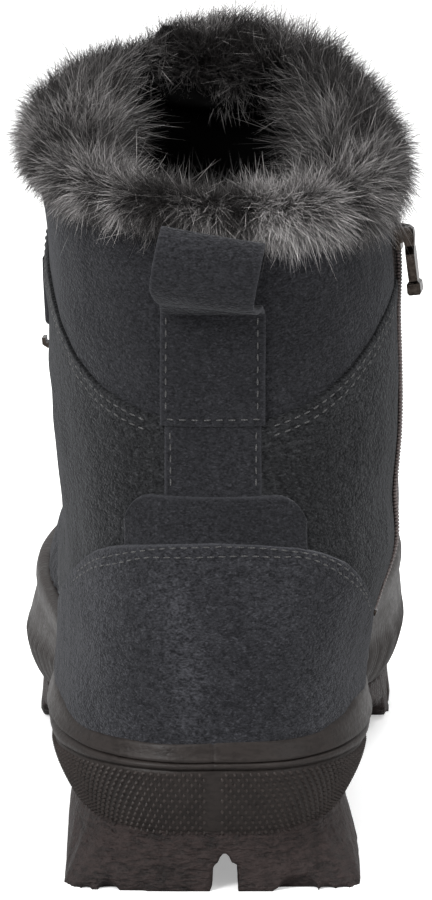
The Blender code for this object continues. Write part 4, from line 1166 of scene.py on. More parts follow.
def sole_outline(side):
    """Shares, x, y, outward directions and whole length of one side of the sole's widest outline."""
    x, y = half_outline(SOLE_EDGE, side, 900)
    x = x - side * SHANK_TRIM[side] * smooth(y, 24.0, 53.0) * (1 - smooth(y, 84.0, 120.0))
    run = lengths_along(x, y)
    shares = np.linspace(0, 1, 601)
    px, py = np.interp(shares * run[-1], run, x), np.interp(shares * run[-1], run, y)
    out = unit(np.column_stack([np.gradient(py), -np.gradient(px)])) * side
    out[0], out[-1] = (0, -1), (0, 1)
    return shares, px, py, out, run[-1]


OUTLINES = {side: sole_outline(side) for side in (MEDIAL, LATERAL)}


def wall_place(side, share, w, out):
    """A place on the tapering side of the sole, w from 0 at its foot to 1 at the bead, moved out."""
    shares, px, py, away, _ = OUTLINES[side]
    x, y = np.interp(share, shares, px), np.interp(share, shares, py)
    nx, ny = np.interp(share, shares, away[:, 0]), np.interp(share, shares, away[:, 1])
    mix = smooth(y, 80.0, 150.0)
    sag = 1 - smooth(y, 3.0, 30.0)
    inset, z = np.zeros(len(share)), np.zeros(len(share))
    for stop, level, dip in zip(WALL_STOPS, SOLE_LEVELS, HEEL_SAG):
        others = [other for other in WALL_STOPS if other != stop]
        weight = math.prod(w - other for other in others) / math.prod(stop - other for other in others)
        inset = inset + weight * (level.inset_heel + (level.inset_ball - level.inset_heel) * mix)
        z = z + weight * (sole_height(level, y) - dip * sag)
    return np.column_stack([x + nx * (out - inset), y + ny * (out - inset), z])


def cup_place(side, share, w, out):
    """A place on the cup's profile: its side for w up to 1, then the bead between its grooves, and from 1.2
    the rim, to 2."""
    low = wall_place(side, share, np.minimum(w, 1.0), out)
    u = np.clip((w - 1.2) / 0.8, 0.0, 1.0)
    drop = np.interp(side * share * side_length(side, RIM), RIM_DROP[:, 0], RIM_DROP[:, 1]) / LEVEL_RISE
    level = RIM_FOOT + (RIM_TOP - RIM_FOOT - drop) * u
    p, n = shell_at(side, level, share)
    high = p + n * (RIM_OUT + out)[:, None]
    t = np.clip((w - 1.0) / 0.2, 0.0, 1.0)[:, None]
    return low * (1 - t) + high * t


# w of each row of the cup, and how much farther out it lies at the heel and at the forefoot
CUP_ROWS = np.array([
    (0.0, -2.6, -2.0), (0.0, 0.0, 0.0), (0.03, 0.25, 0.1), (0.15, 0.25, 0.15), (0.3, 0.25, 0.2),
    (0.45, 0.2, 0.25), (0.6, 0.2, 0.3), (0.75, 0.15, 0.25), (0.9, 0.1, 0.2), (0.97, 0.0, 0.1),
    (0.985, -0.55, 0.0), (1.01, -0.6, 0.0), (1.025, 0.45, -0.1), (1.05, 0.95, -0.2), (1.085, 1.35, -0.2),
    (1.12, 1.5, -0.2), (1.145, 1.3, -0.2), (1.155, 0.75, -0.3), (1.175, 0.8, -0.3), (1.19, 1.6, 0.0),
    (1.2, 1.8, 0.1), (1.3, 1.3, 0.3), (1.45, 0.8, 0.4), (1.65, 0.3, 0.4), (1.82, -0.1, 0.2),
    (1.92, -0.45, -0.2), (1.975, -1.0, -0.9), (2.0, -1.8, -1.7), (2.0, -3.0, -2.9),
])
FLUTE, FLUTE_DEPTH = 2.3, 0.6


def make_cup():
    """Rubber cup round the upper: rim, bead between two grooves, and side, fluted along the forefoot."""
    half = 520
    rows = len(CUP_ROWS) - 1

    def shape(across, along):
        column = np.round(across * 2 * half) - half
        share = np.abs(column) / half
        share = share - 0.35 * np.sin(2 * math.pi * share) / (2 * math.pi)    # closer at heel and toe
        w, heel, fore = (np.interp(along * rows, np.arange(rows + 1), CUP_ROWS[:, k]) for k in range(3))
        points = np.empty((len(w), 3))
        for side, here in by_side(column):
            none = np.zeros(here.sum())
            y = wall_place(side, share[here], none, none)[:, 1]
            front = smooth(y, DOTTED_END - 4, DOTTED_END + 3)
            run = share[here] * OUTLINES[side][4]
            flute = np.abs(np.sin(run * math.pi / FLUTE)) - 1.0
            lower = smooth(w[here], 0.06, 0.16) * (1 - smooth(w[here], 0.98, 1.12))
            fade = front * lower * (1 - smooth(y, 236.0, 250.0))
            out = heel[here] * (1 - front) + fore[here] * front + FLUTE_DEPTH * flute * fade
            seam = np.exp(-((run / 0.35) ** 2)) * (w[here] > 0.99)
            points[here] = cup_place(side, share[here], w[here], out - 0.3 * seam)
        points += 0.05 * wobble(points, 14.0, 31)[:, None]
        return points

    mesh = edited(grid_mesh("rubber_cup", 2 * half, rows, shape), merge)
    finish_piece("rubber_cup", mesh, "rubber", ["sidewall"])


DOT_ROWS, DOT_PITCH = 12, 1.96
DOT_START = 2.2               # distance round from the heel line to the first dot
DOT_WIDE, DOT_HIGH, DOT_OUT = 0.66, 0.9, 0.52


def make_dots():
    """Small pointed dots over the heel's side, every other row set over by half a pitch."""
    def build(maker):
        bmesh.ops.create_cone(maker, cap_ends=False, segments=4, radius1=1.0, radius2=0.28, depth=1.0)
        rim = [v for v in maker.verts if v.co.z > 0]
        maker.faces.new(sorted(rim, key=lambda v: math.atan2(v.co.y, v.co.x)))

    dot = small_shape(build, DOT_WIDE, DOT_WIDE, DOT_HIGH)
    origins, axes = [], []
    for side in (MEDIAL, LATERAL):
        shares, _, py, _, whole = OUTLINES[side]
        last_share = np.interp(DOTTED_END, py, shares)
        for row in range(DOT_ROWS):
            w = 0.06 + 0.86 * row / (DOT_ROWS - 1)
            share = (np.arange(DOT_START, last_share * whole, DOT_PITCH) + DOT_PITCH / 2 * (row % 2)) / whole
            full = np.full(len(share), w)
            none = np.zeros(len(share))
            here = wall_place(side, share, full, none)
            up = unit(wall_place(side, share, full + 0.02, none) - wall_place(side, share, full - 0.02, none))
            ahead = unit(wall_place(side, share + 0.003, full, none) - wall_place(side, share, full, none))
            out = unit(np.cross(ahead, up)) * side
            origins.append(here + out * DOT_OUT)
            axes.append(np.stack([ahead, np.cross(out, ahead), out], axis=1))
    made = copies(*dot, np.vstack(origins), np.vstack(axes))
    # the dots' lighter rubber is a painted highlight on their tips
    finish_piece("heel_dots", mesh_from_arrays("heel_dots", *made), "dot_rubber", smooth_faces=False)


# ---------------------------------------------------------------- pieces made from the CAD solids


def welded_copy(node):
    """A merged copy of a CAD node's mesh."""
    def build(maker):
        maker.from_mesh(NODES[node].data)
        merge(maker, 0.005)

    return built(node + "_copy", build)


def remeshed(mesh, voxel, cutters=()):
    """The mesh less its cutters, rebuilt in small even faces with softened edges."""
    scene = bpy.context.scene
    helper = bpy.data.objects.new("helper", mesh)
    scene.collection.objects.link(helper)
    cut_objects = []
    for number, cutter in enumerate(cutters):
        other = bpy.data.objects.new(f"cutter_{number}", cutter)
        scene.collection.objects.link(other)
        cut = helper.modifiers.new(f"cut_{number}", "BOOLEAN")
        cut.operation = "DIFFERENCE"
        cut.object = other
        cut_objects.append(other)
    even = helper.modifiers.new("even", "REMESH")
    even.mode = "VOXEL"
    even.voxel_size = voxel * MM
    even.use_smooth_shade = True
    graph = bpy.context.evaluated_depsgraph_get()
    graph.update()
    made = bpy.data.meshes.new_from_object(helper.evaluated_get(graph))
    for other in [helper] + cut_objects:
        bpy.data.objects.remove(other)
    return made


def pushed(mesh, amount, relief=None, rounds=2):
    """Smooths a mesh a little, then moves each point along its normal by amount, plus its relief."""
    def even_out(maker):
        for _ in range(rounds):
            bmesh.ops.smooth_vert(maker, verts=maker.verts, factor=0.5, use_axis_x=True, use_axis_y=True,
                                  use_axis_z=True)

    edited(mesh, even_out)
    points, normals = points_of(mesh), read_vectors(mesh.vertex_normals, "vector")
    move = amount if relief is None else amount + relief(points)
    put_points(mesh, points + normals * np.reshape(move, (-1, 1)))
    mesh.update()
    return mesh


def wedge(points, y1, y2):
    """A prism between two y values over an outline of (x, z) corners."""
    def build(maker):
        face = maker.faces.new([maker.verts.new(place((x, y1, z))) for x, z in points])
        moved = bmesh.ops.extrude_face_region(maker, geom=[face])["geom"]
        far_end = [v for v in moved if isinstance(v, bmesh.types.BMVert)]
        bmesh.ops.translate(maker, vec=Vector((0, (y2 - y1) * MM, 0)), verts=far_end)
        bmesh.ops.recalc_face_normals(maker, faces=maker.faces)

    return built("wedge", build)


HEEL_NICKS = [                # x and z of the corners of each notch in the heel block's rear edge
    [(-38.0, -1.0), (-36.6, 4.4), (-35.0, 3.4), (-34.2, -1.0)],
    [(-34.3, -1.0), (-33.2, 2.6), (-31.9, -1.0)],
    [(-31.6, -1.0), (-30.6, 2.4), (-29.0, -1.0)],
    [(-27.6, -1.0), (-26.4, 1.9), (-24.2, 2.1), (-22.2, -1.0)],
    [(14.6, -1.0), (17.4, 3.2), (22.4, 3.4), (24.6, 1.2), (25.2, -1.0)],
    [(25.6, -1.0), (27.4, 2.6), (29.6, -1.0)],
    [(29.8, -1.0), (31.4, 2.5), (33.2, -1.0)],
    [(33.4, -1.0), (34.6, 2.4), (36.2, -1.0)],
]
HEEL_ARCH = [
    (-0.3, -1.0), (0.0, 4.8), (1.2, 6.6), (2.0, 8.8), (3.4, 9.0), (4.2, 6.8), (5.4, 4.8), (6.0, -1.0),
]
NICK_REACH, ARCH_REACH = (-4.0, 6.0), (-8.0, 40.0)    # y from and to which each is cut
TREAD_SPLIT = 84.0            # y where the tread is made in two pieces
HEEL_BLOCK_TOP = 14.0


def one_end(mesh, y, rear):
    """The part of a closed mesh behind a y value, or before it, with its cut side closed."""
    def cut(maker):
        geometry = list(maker.verts) + list(maker.edges) + list(maker.faces)
        bmesh.ops.bisect_plane(maker, geom=geometry, plane_co=place((0, y, 0)), plane_no=(0, 1, 0),
                               clear_outer=rear, clear_inner=not rear)
        bmesh.ops.holes_fill(maker, edges=[e for e in maker.edges if e.is_boundary], sides=0)

    return edited(mesh, cut)


FILL_WIDE, FILL_BACK = 0.08, 1.6      # share of its width, and distance back


def fill_out(mesh):
    """Draws the upper part of the heel's block out to the foot of the cup above it."""
    points = points_of(mesh)
    rise = np.clip(points[:, 2] / HEEL_BLOCK_TOP, 0, 1)
    points[:, 0] *= 1 + FILL_WIDE * rise * (1 - smooth(points[:, 1], 50.0, TREAD_SPLIT))
    points[:, 1] -= FILL_BACK * rise * (1 - smooth(points[:, 1], 8.0, 34.0))
    put_points(mesh, points)
    mesh.update()


def make_tread():
    """Heel block, notched and arched at its rear edge, and the waist and forefoot with their lugs."""
    cutters = [wedge(nick, *NICK_REACH) for nick in HEEL_NICKS] + [wedge(HEEL_ARCH, *ARCH_REACH)]

    def worn(points):
        return 0.05 * wobble(points, 7.0, 41)

    heel = remeshed(one_end(welded_copy("outsole"), TREAD_SPLIT, rear=True), voxel=0.84, cutters=cutters)
    heel = pushed(heel, 0.0, worn, rounds=1)
    fill_out(heel)
    finish_piece("heel_tread", heel, "heel_rubber", ["outsole"])
    fore = remeshed(one_end(welded_copy("outsole"), TREAD_SPLIT, rear=False), voxel=1.4)
    fore = pushed(fore, 0.0, worn, rounds=1)
    finish_piece("fore_tread", fore, "heel_rubber", ["outsole"])


def make_footbed():
    """Felt footbed on the insole."""
    mesh = pushed(remeshed(welded_copy("insole"), voxel=2.8), -0.2, lambda p: 0.25 * wobble(p, 18.0, 43))
    finish_piece("footbed", mesh, "felt", ["insole"])


QUILT_HEIGHTS, QUILT_WIDTH, QUILT_DEPTH = (128.0, 152.0), 1.3, 0.9


def make_tongue():
    """Padded tongue, quilted by two rows of sewing across its upper part."""
    def quilt(points):
        channel = sum(np.exp(-(((points[:, 2] - height) / QUILT_WIDTH) ** 2)) for height in QUILT_HEIGHTS)
        return 0.5 * wobble(points, 30.0, 45) - QUILT_DEPTH * channel

    mesh = pushed(remeshed(welded_copy("tongue"), voxel=1.8), -0.1, quilt)
    finish_piece("tongue_pad", mesh, "suede", ["tongue"])
    mesh.materials.append(FINISH["lining"])
    inner = read_vectors(mesh.polygons, "normal")[:, 1] < 0.1
    mesh.polygons.foreach_set("material_index", inner.astype("i"))


# ---------------------------------------------------------------- fur


def scattered(node, count, source, keep):
    """Random roots over a CAD node's surface, and its rounded normals there, in the last's millimetres."""
    mesh = welded_copy(node)
    mesh.calc_loop_triangles()
    points, turned = points_of(mesh), read_vectors(mesh.vertices, "normal")
    corners = np.empty(len(mesh.loop_triangles) * 3, "i")
    mesh.loop_triangles.foreach_get("vertices", corners)
    corners = corners.reshape(-1, 3)
    a, b, c = (points[corners[:, k]] for k in range(3))
    square = np.cross(b - a, c - a)
    weight = np.linalg.norm(square, axis=1) * keep((a + b + c) / 3, unit(square))
    picked = source.choice(len(weight), count, p=weight / weight.sum())
    share = source.random((count, 2))
    share = np.where(share.sum(axis=1, keepdims=True) > 1, 1 - share, share)
    share = np.column_stack([1 - share.sum(axis=1), share])[:, :, None]
    roots = np.sum(points[corners[picked]] * share, axis=1)
    return roots, unit(np.sum(turned[corners[picked]] * share, axis=1))


COLLAR_HALF_X, COLLAR_HALF_Y, COLLAR_MIDDLE_Y = 43.0, 57.0, 65.0


def collar_out(points):
    """Level direction away from the middle of the collar."""
    x, y = points[:, 0] / COLLAR_HALF_X**2, (points[:, 1] - COLLAR_MIDDLE_Y) / COLLAR_HALF_Y**2
    return unit(np.column_stack([x, y, np.zeros(len(points))]))


def facing_out(points, normals):
    """1 where a surface faces out from the collar, down to -1 where it faces in."""
    return np.sum(normals * collar_out(points), axis=1)


def over_collar(points):
    """Height of points over the collar's edge."""
    return points[:, 2] - section_height(SECTIONS[-1], points[:, 0], points[:, 1])


def hem_height(points):
    """How far over the collar's edge the fur's lower edge lies: it hangs lower on the inner side."""
    return -0.6 - 3.9 * smooth(points[:, 0], -4.0, 20.0)


def hair_flow(points, normals):
    """Which way the fur lies: down over the cuff's outside, up along its top and in over its inside."""
    facing = facing_out(points, normals)
    outside, inside = smooth(facing, 0.0, 0.8), smooth(-facing, 0.0, 0.8)
    top = smooth(normals[:, 2], 0.1, 0.9)
    front = smooth(points[:, 1], 86.0, 112.0) * smooth(over_collar(points), -5.0, 1.0)
    rear = 1 - smooth(points[:, 1], 14.0, 44.0)
    fall = outside * (0.9 - 1.15 * front) - inside * 0.35 - top * (0.2 + 0.5 * front - 0.35 * rear)
    flow = normals * (0.45 - 0.12 * outside + 0.35 * inside)[:, None] - UP * fall[:, None]
    flow = flow + collar_out(points) * ((0.15 + 0.25 * rear) * top)[:, None]
    flow[:, 0] += 0.45 * front * top
    return unit(flow)


FUR_WIDTH = 0.165
CUFF_HAIR, TONGUE_HAIR = 9.6, 8.4     # length of a strand
LONGEST = 30.0
REAR_COUNT, SIDE_COUNT, INNER_COUNT, TONGUE_COUNT = 50000, 37000, 20000, 13500    # strands
TUFT = 30                     # strands in a tuft
TUFT_SWIRL, TUFT_STRAY, HAIR_STRAY = 0.7, 0.36, 0.48    # how far each leaves the fur's own flow
TIDY = 0.5                    # how far a strand follows its tuft rather than itself
LEAST_RISE = 0.12             # how steeply a strand rises at least
HAIR_CURL, HAIR_ARCH, HAIR_SAG = 0.24, 0.16, 0.08       # as shares of a strand's length
TONGUE_PILE = 1.6             # depth of the roots on the tongue's roll


def strands(name, roots, normals, length, source, painted_tip_light, limit=LONGEST):
    """Tapered strands of hair that gather loosely into tufts; the painted light given for each strand scales
    how silvery its tip is, as painted shade or painted highlight.
    """
    count = len(roots)
    tufts = max(count // TUFT, 8)
    heads = source.choice(count, tufts, replace=False)
    tree = KDTree(tufts)
    for number, head in enumerate(heads):
        tree.insert(roots[head], number)
    tree.balance()
    near = np.array([tree.find(root)[1] for root in roots])
    swirl = np.column_stack([wobble(roots[heads], 16.0, seed) for seed in (61, 62, 63)])
    stray = source.normal(0, TUFT_STRAY, (tufts, 3))
    tuft_flow = unit(hair_flow(roots[heads], normals[heads]) + TUFT_SWIRL * swirl + stray)
    tuft_long = source.uniform(0.75, 1.2, tufts)
    patches = 0.85 * wobble(roots[heads], 15.0, 64) + 0.5 * wobble(roots[heads], 6.0, 65)
    tuft_tone = smooth(patches + source.normal(0, 0.2, tufts), -0.5, 0.75)
    own = unit(hair_flow(roots, normals) + source.normal(0, HAIR_STRAY, (count, 3)))
    flow = unit(own * (1 - TIDY) + tuft_flow[near] * TIDY)
    inward = np.minimum(np.sum(flow * normals, axis=1), LEAST_RISE) - LEAST_RISE
    flow = unit(flow - normals * inward[:, None])
    long = np.minimum(length * tuft_long[near], limit) * source.uniform(0.6, 1.1, count)
    gather = (roots[heads][near] - roots) * source.uniform(0.05, 0.6, count)[:, None]
    curl = source.normal(0, HAIR_CURL, (count, 3)) * long[:, None]
    flat = unit(np.cross(flow, unit(source.normal(size=(count, 3)))))
    steps, share = (0.0, 0.5, 1.0), (1.0, 0.8)
    rows = []
    for k, t in enumerate(steps):
        rise = normals * (long * HAIR_ARCH * math.sin(math.pi * t))[:, None]
        middle = roots - normals * 0.5 + flow * (long * t)[:, None] + rise + gather * t**1.3 + curl * t * t
        middle = middle - UP * (HAIR_SAG * long * t * t)[:, None]
        if k < len(share):
            rows += [middle - flat * FUR_WIDTH * share[k] / 2, middle + flat * FUR_WIDTH * share[k] / 2]
        else:
            rows.append(middle)
    points = np.stack(rows, axis=1).reshape(-1, 3)
    first = np.arange(count)[:, None] * 5
    faces = np.concatenate([first + np.array(corner) for corner in ((0, 1, 3), (0, 3, 2), (2, 3, 4))])
    along = np.tile(np.repeat(steps, (2, 2, 1)), count)
    # each strand's tone: its tuft's random tone times the painted light given for it
    tone = np.clip(tuft_tone[near] * (0.1 + 1.6 * source.random(count) ** 1.5), 0, 1) * painted_tip_light
    mesh = mesh_from_arrays(name, points, faces, {"along": along, "tone": np.repeat(tone, 5)})
    finish_piece(name, mesh, "fur")


def wall_share(points, normals):
    """1 on the cuff's inner side walls, 0 elsewhere."""
    along = smooth(points[:, 1], 26.0, 46.0) * (1 - smooth(points[:, 1], 90.0, 104.0))
    return smooth(-facing_out(points, normals), 0.1, 0.7) * along


def pile_depth(points, normals):
    """How deep under the cuff's outline its hair is rooted, in millimetres; below zero where it is fuller."""
    outside = smooth(facing_out(points, normals), 0.0, 0.7)
    front = smooth(points[:, 1], 88.0, 112.0)
    rear = 1 - smooth(points[:, 1], 14.0, 40.0)
    medial = smooth(points[:, 0], -10.0, 30.0)
    depth = 2.8 + outside * (2.8 + 1.2 * medial) * (1 - 0.7 * rear) - 1.6 * front * (1 - outside)
    depth = depth + 2.6 * smooth(normals[:, 2], 0.2, 0.9) * rear
    return depth - 6.6 * wall_share(points, normals)


BASE_VOXEL = 1.7              # size of the fur bases' faces
REAR_END_Y = 34.0             # y where the cuff's rear piece of fur ends


def sunk(mesh, depth_at, hung):
    """A fur solid drawn in to the roots of its hair, and up to the collar where it hangs below it."""
    def draw_in(maker):
        maker.normal_update()
        points = np.array([tuple(v.co) for v in maker.verts]) / MM + MIDDLE
        normals = np.array([tuple(v.normal) for v in maker.verts])
        points = points - normals * depth_at(points, normals)[:, None]
        if hung:
            points[:, 2] += np.maximum(-1.0 - over_collar(points), 0.0)
        for vertex, spot in zip(maker.verts, place(points)):
            vertex.co = spot

    return remeshed(edited(mesh, draw_in), BASE_VOXEL)


def cuff_fill(points, normals):
    """How deep the base of the cuff's fur lies, but not on its under side, which stays."""
    return (pile_depth(points, normals) + 0.4) * smooth(normals[:, 2], -0.7, -0.2)


def tongue_fill(points, normals):
    """How deep the base of the tongue's fur lies: its under side and ends reach out to their neighbours."""
    ends = np.where(np.abs(normals[:, 0]) > 0.4, -3.8, TONGUE_PILE + 0.4)
    return np.where(normals[:, 2] < -0.3, -5.4, ends)


def cuff_density(points, normals):
    """How densely hair grows over the cuff: not under its hem, nor where its inner side meets the upper."""
    facing, over, up = facing_out(points, normals), over_collar(points), normals[:, 2]
    y = points[:, 1]
    weight = 0.6 + 0.6 * smooth(facing, -0.4, 0.4) + 0.6 * smooth(up, 0.2, 0.8)
    weight *= 1 - smooth(-facing, 0.1, 0.6) * smooth(y, 92.0, 100.0) * (1 - smooth(over, 4.0, 7.0))
    weight *= (y < 108.0) | (facing > 0.25) | (up > 0.6)
    lowest = np.where(facing > -0.3, 0.8 - 5.0 * smooth(y, 92.0, 106.0), -5.0)
    under = (up < -0.35) & (facing > -0.3) & (y < 100.0)
    return weight * (up > -0.75) * (over > lowest) * ~under


def cuff_hair(surface, normals):
    """(roots, lengths, painted light on the tips, greatest lengths) of the strands that show at places on the
    cuff's outline.
    """
    front = smooth(surface[:, 1], 80.0, 112.0)
    over = over_collar(surface)
    room = over - hem_height(surface)
    swell = 0.3 * smooth(surface[:, 0], -4.0, 10.0) * (1 - smooth(surface[:, 0], 24.0, 34.0))
    swell = swell - 0.25 * smooth(-surface[:, 0], 4.0, 22.0)
    length = CUFF_HAIR * (1 + swell * front) + 3.2 * wall_share(surface, normals)
    hanging = (facing_out(surface, normals) > 0.1) & ((front < 0.5) | (over < 0.0))
    limit = np.where(hanging, np.maximum(room * 1.12, 4.0), LONGEST)
    roots = surface - normals * pile_depth(surface, normals)[:, None]
    # painted light on the tips: painted shade on the medial side, away from the key light; also darker
    # towards the hem and lighter at the rear
    painted_tip_light = 1.15 - 0.5 * smooth(roots[:, 0], -4.0, 24.0) + 0.3 * (1 - smooth(roots[:, 1], 20.0, 44.0))
    return roots, length, painted_tip_light * (0.4 + 0.6 * smooth(room, 4.5, 12.0)), limit


def make_fur():
    """The cuff's and the tongue's fur: a dark base each, and strands rooted in it and in the lining."""
    source = np.random.default_rng(17)
    for name, node, depth_at in (("fur_base", "fur_cuff", cuff_fill),
                                 ("tongue_fur_base", "tongue_fur", tongue_fill)):
        base = sunk(pushed(remeshed(welded_copy(node), BASE_VOXEL), 0.0), depth_at, node == "fur_cuff")
        finish_piece(name, base, "lining", [node])
    regions = {
        "fur_rear": (REAR_COUNT, lambda p: p[:, 1] < REAR_END_Y),
        "fur_medial": (SIDE_COUNT, lambda p: (p[:, 1] >= REAR_END_Y) & (p[:, 0] > 0)),
        "fur_lateral": (SIDE_COUNT, lambda p: (p[:, 1] >= REAR_END_Y) & (p[:, 0] <= 0)),
    }
    for name, (count, region) in regions.items():
        def keep(points, normals, region=region):
            return region(points) * cuff_density(points, normals)

        surface, normals = scattered("fur_cuff", count, source, keep)
        roots, length, painted_tip_light, limit = cuff_hair(surface, normals)
        strands(name, roots, normals, length, source, painted_tip_light, limit)
    inner_roots, inner_normals = lining_roots(INNER_COUNT, source)
    wall = smooth(np.abs(inner_normals[:, 0]), 0.55, 0.8)
    # painted shade: strands off the cuff's inner side walls, and on the medial side, get darker tips
    painted_tip_light = (0.25 + 0.75 * wall) * (1 - 0.35 * smooth(inner_roots[:, 0], -4.0, 24.0))
    strands("fur_inner", inner_roots, inner_normals, 7.0 + 5.0 * wall, source, painted_tip_light)

    roots, normals = scattered("tongue_fur", TONGUE_COUNT, source, lambda p, n: (n[:, 2] > -0.6) * 1.0)
    roots = roots - normals * TONGUE_PILE
    swell = 0.3 * smooth(roots[:, 0], -4.0, 8.0) - 0.2 * smooth(-roots[:, 0], 2.0, 14.0)
    # painted shade on the tongue's strands that face back into the boot's opening
    painted_tip_light = 1 - 0.75 * smooth(-normals[:, 1], 0.1, 0.6) * (1 - smooth(normals[:, 2], 0.4, 0.8))
    low = 1 - smooth(roots[:, 2], 178.0, 184.0)
    strands("fur_tongue", roots, normals, TONGUE_HAIR * (1 + swell) - 2.6 * low, source, painted_tip_light)


def lining_roots(count, source):
    """Roots on the lining's side walls, below the cuff, and the ways they face."""
    level = COLLAR - 0.95 * source.random(count)
    roots, normals = np.empty((count, 3)), np.empty((count, 3))
    sides = source.integers(0, 2, count)
    for number, side in enumerate((MEDIAL, LATERAL)):
        here = sides == number
        share = source.uniform(0.1, 0.84, here.sum())
        p, n = shell_at(side, level[here], share)
        roots[here], normals[here] = p - n * (WALL - 0.3), -n
    return roots, normals


# ---------------------------------------------------------------- zip

COIL_TOP, COIL_PITCH, COIL_APART, COIL_OUT = 150.0, 0.86, 1.0, 0.75
COIL_TOOTH, STOP_SIZE = (1.75, 0.40, 0.62), (3.4, 1.2, 1.3)
# across the tape: distance ahead of its middle line, and height over the suede
TAPE_PROFILE = np.array([
    (-5.2, -1.5), (-3.2, -0.9), (-2.2, -0.5), (-1.5, 0.2), (0.0, 0.3), (1.5, 0.2), (2.2, -0.5), (3.2, -0.9),
    (4.4, -1.5),
])


def zip_frames(heights):
    """(places on the zip's middle line, ways ahead, ways up, outward normals)."""
    distance = zip_distance(heights)
    middle = on_shell(distance, heights)
    out = unit(on_shell(distance, heights, 1.0) - middle)
    up = unit(np.gradient(middle, axis=0))
    ahead = unit(np.cross(up, out))
    return middle, ahead, np.cross(out, ahead), out


def make_zip():
    """Tape in the slot, two rows of coil along its middle and a stop at its foot."""
    heights = np.linspace(ZIP_LOW + 0.5, ZIP_TOP, 130)
    middle, ahead, _, out = zip_frames(heights)
    stops = np.linspace(0, 1, len(TAPE_PROFILE))

    def shape(across, along):
        i = np.round(along * (len(heights) - 1)).astype(int)
        a, n = (np.interp(across, stops, TAPE_PROFILE[:, k])[:, None] for k in range(2))
        return middle[i] + ahead[i] * a + out[i] * n

    mesh = grid_mesh("zip_tape_weave", 24, len(heights) - 1, shape)
    finish_piece("zip_tape_weave", mesh, "tape", ["zip_tape"])
    tooth = small_shape(ball(8, 5), *COIL_TOOTH)
    places, ways, ups, outs = zip_frames(np.arange(ZIP_LOW + 2.0, COIL_TOP, COIL_PITCH))
    axes = np.stack([ways, ups, outs], axis=1)
    for name, shift in (("coil_back", -COIL_APART), ("coil_front", COIL_APART)):
        origins = places + ways * shift + outs * COIL_OUT + ups * (0.2 * shift)
        mesh = mesh_from_arrays(name, *copies(*tooth, origins, axes))
        finish_piece(name, mesh, "coil")
    stop = small_shape(lambda maker: bmesh.ops.create_cube(maker, size=1.0), *STOP_SIZE)
    made = copies(*stop, places[:1] + outs[:1] * 0.9 - ups[:1] * 1.6, axes[:1])
    finish_piece("zip_stop", mesh_from_arrays("zip_stop", *made), "metal", smooth_faces=False)


# ---------------------------------------------------------------- laces

HARDWARE_ROWS = [106.0, 120.0, 134.5, 149.0, 163.5]
HARDWARE_IN = 7.0             # from the throat's edge
LACE_RADIUS, LACE_SIDES = 1.9, 14
LACE_FLAT = 0.72              # its thickness as a share of its width
LACE_LIFT = 3.4               # over the suede, where it meets a loop or hook
LACE_REACH = 0.4              # how far it reaches towards the throat from there
LACE_TURN = 1.6               # how far above or below a loop's middle it leaves
BAR_BOW, UNDER_BOW, OVER_BOW = 1.0, 1.6, 4.4    # how far a stretch bows out over the tongue


def hardware_frame(side, height):
    """(place, away from the throat, up, out) where a hook or loop sits."""
    z = np.array([height])
    level = level_at(side, np.array([THROAT_HALF_HIGH]), z, True)[0]
    distance = throat_half(level) + HARDWARE_IN
    level, share = level_at(side, distance, z, True)
    point, out = shell_at(side, level, share)
    back = shell_at(side, level, share - 3.0 / side_length(side, level))[0]
    away = unit(back - point)
    up = unit(np.cross(away, out) * side)
    return point[0], away[0], up[0], out[0]


def lace_end(side, height):
    """Where the lace meets the loop or hook at a height."""
    point, away, _, out = hardware_frame(side, height)
    return point - away * LACE_REACH + out * LACE_LIFT


def lace_piece(name, path, nodes=()):
    """A closed stretch of lace along a path, a little flattened, with rounded ends."""
    path = curve_through(path, max(16, int(len(path) * 14)))
    run = unit(np.gradient(path, axis=0))
    facing = unit(np.column_stack([np.zeros(len(path)), np.full(len(path), 0.8), np.full(len(path), 0.6)]))
    side = unit(np.cross(run, facing))
    rise = np.cross(side, run)
    end = np.clip(np.minimum(np.arange(len(path)), np.arange(len(path))[::-1]) / 2.0, 0, 1)
    size = LACE_RADIUS * np.sqrt(end * (2 - end))

    def shape(across, along):
        i = np.round(along * (len(path) - 1)).astype(int)
        turn = across * 2 * math.pi
        ring = side[i] * np.cos(turn)[:, None] + rise[i] * (LACE_FLAT * np.sin(turn))[:, None]
        return path[i] + ring * size[i][:, None]

    def close(maker):
        merge(maker, 0.01)
        bmesh.ops.recalc_face_normals(maker, faces=maker.faces)

    mesh = edited(grid_mesh(name, LACE_SIDES, len(path) - 1, shape), close)
    finish_piece(name, mesh, "lace", nodes)


def crossing(a, b, lift):
    """Corners of a path between two places that bows out over the tongue by lift."""
    middle = (a + b) / 2
    out = unit(np.array([0.0, middle[1] - 60.0, 55.0]))
    return [a, a * 0.75 + b * 0.25 + out * lift * 0.75, middle + out * lift,
            a * 0.25 + b * 0.75 + out * lift * 0.75, b]


def make_laces():
    """One lace across the lowest row and crossed up to the top hooks."""
    low = HARDWARE_ROWS[0]
    lace_piece("lace_bottom", crossing(lace_end(MEDIAL, low), lace_end(LATERAL, low), BAR_BOW), ["lace_bar"])
    for number, (lower, upper) in enumerate(zip(HARDWARE_ROWS, HARDWARE_ROWS[1:]), start=1):
        start, end = lower + LACE_TURN, upper - LACE_TURN
        under = crossing(lace_end(MEDIAL, start), lace_end(LATERAL, end), UNDER_BOW)
        over = crossing(lace_end(LATERAL, start), lace_end(MEDIAL, end), OVER_BOW)
        lace_piece(f"lace_under_{number}", under, [f"lace_cross_{number}"])
        lace_piece(f"lace_over_{number}", over)


# ---------------------------------------------------------------- room, camera and light


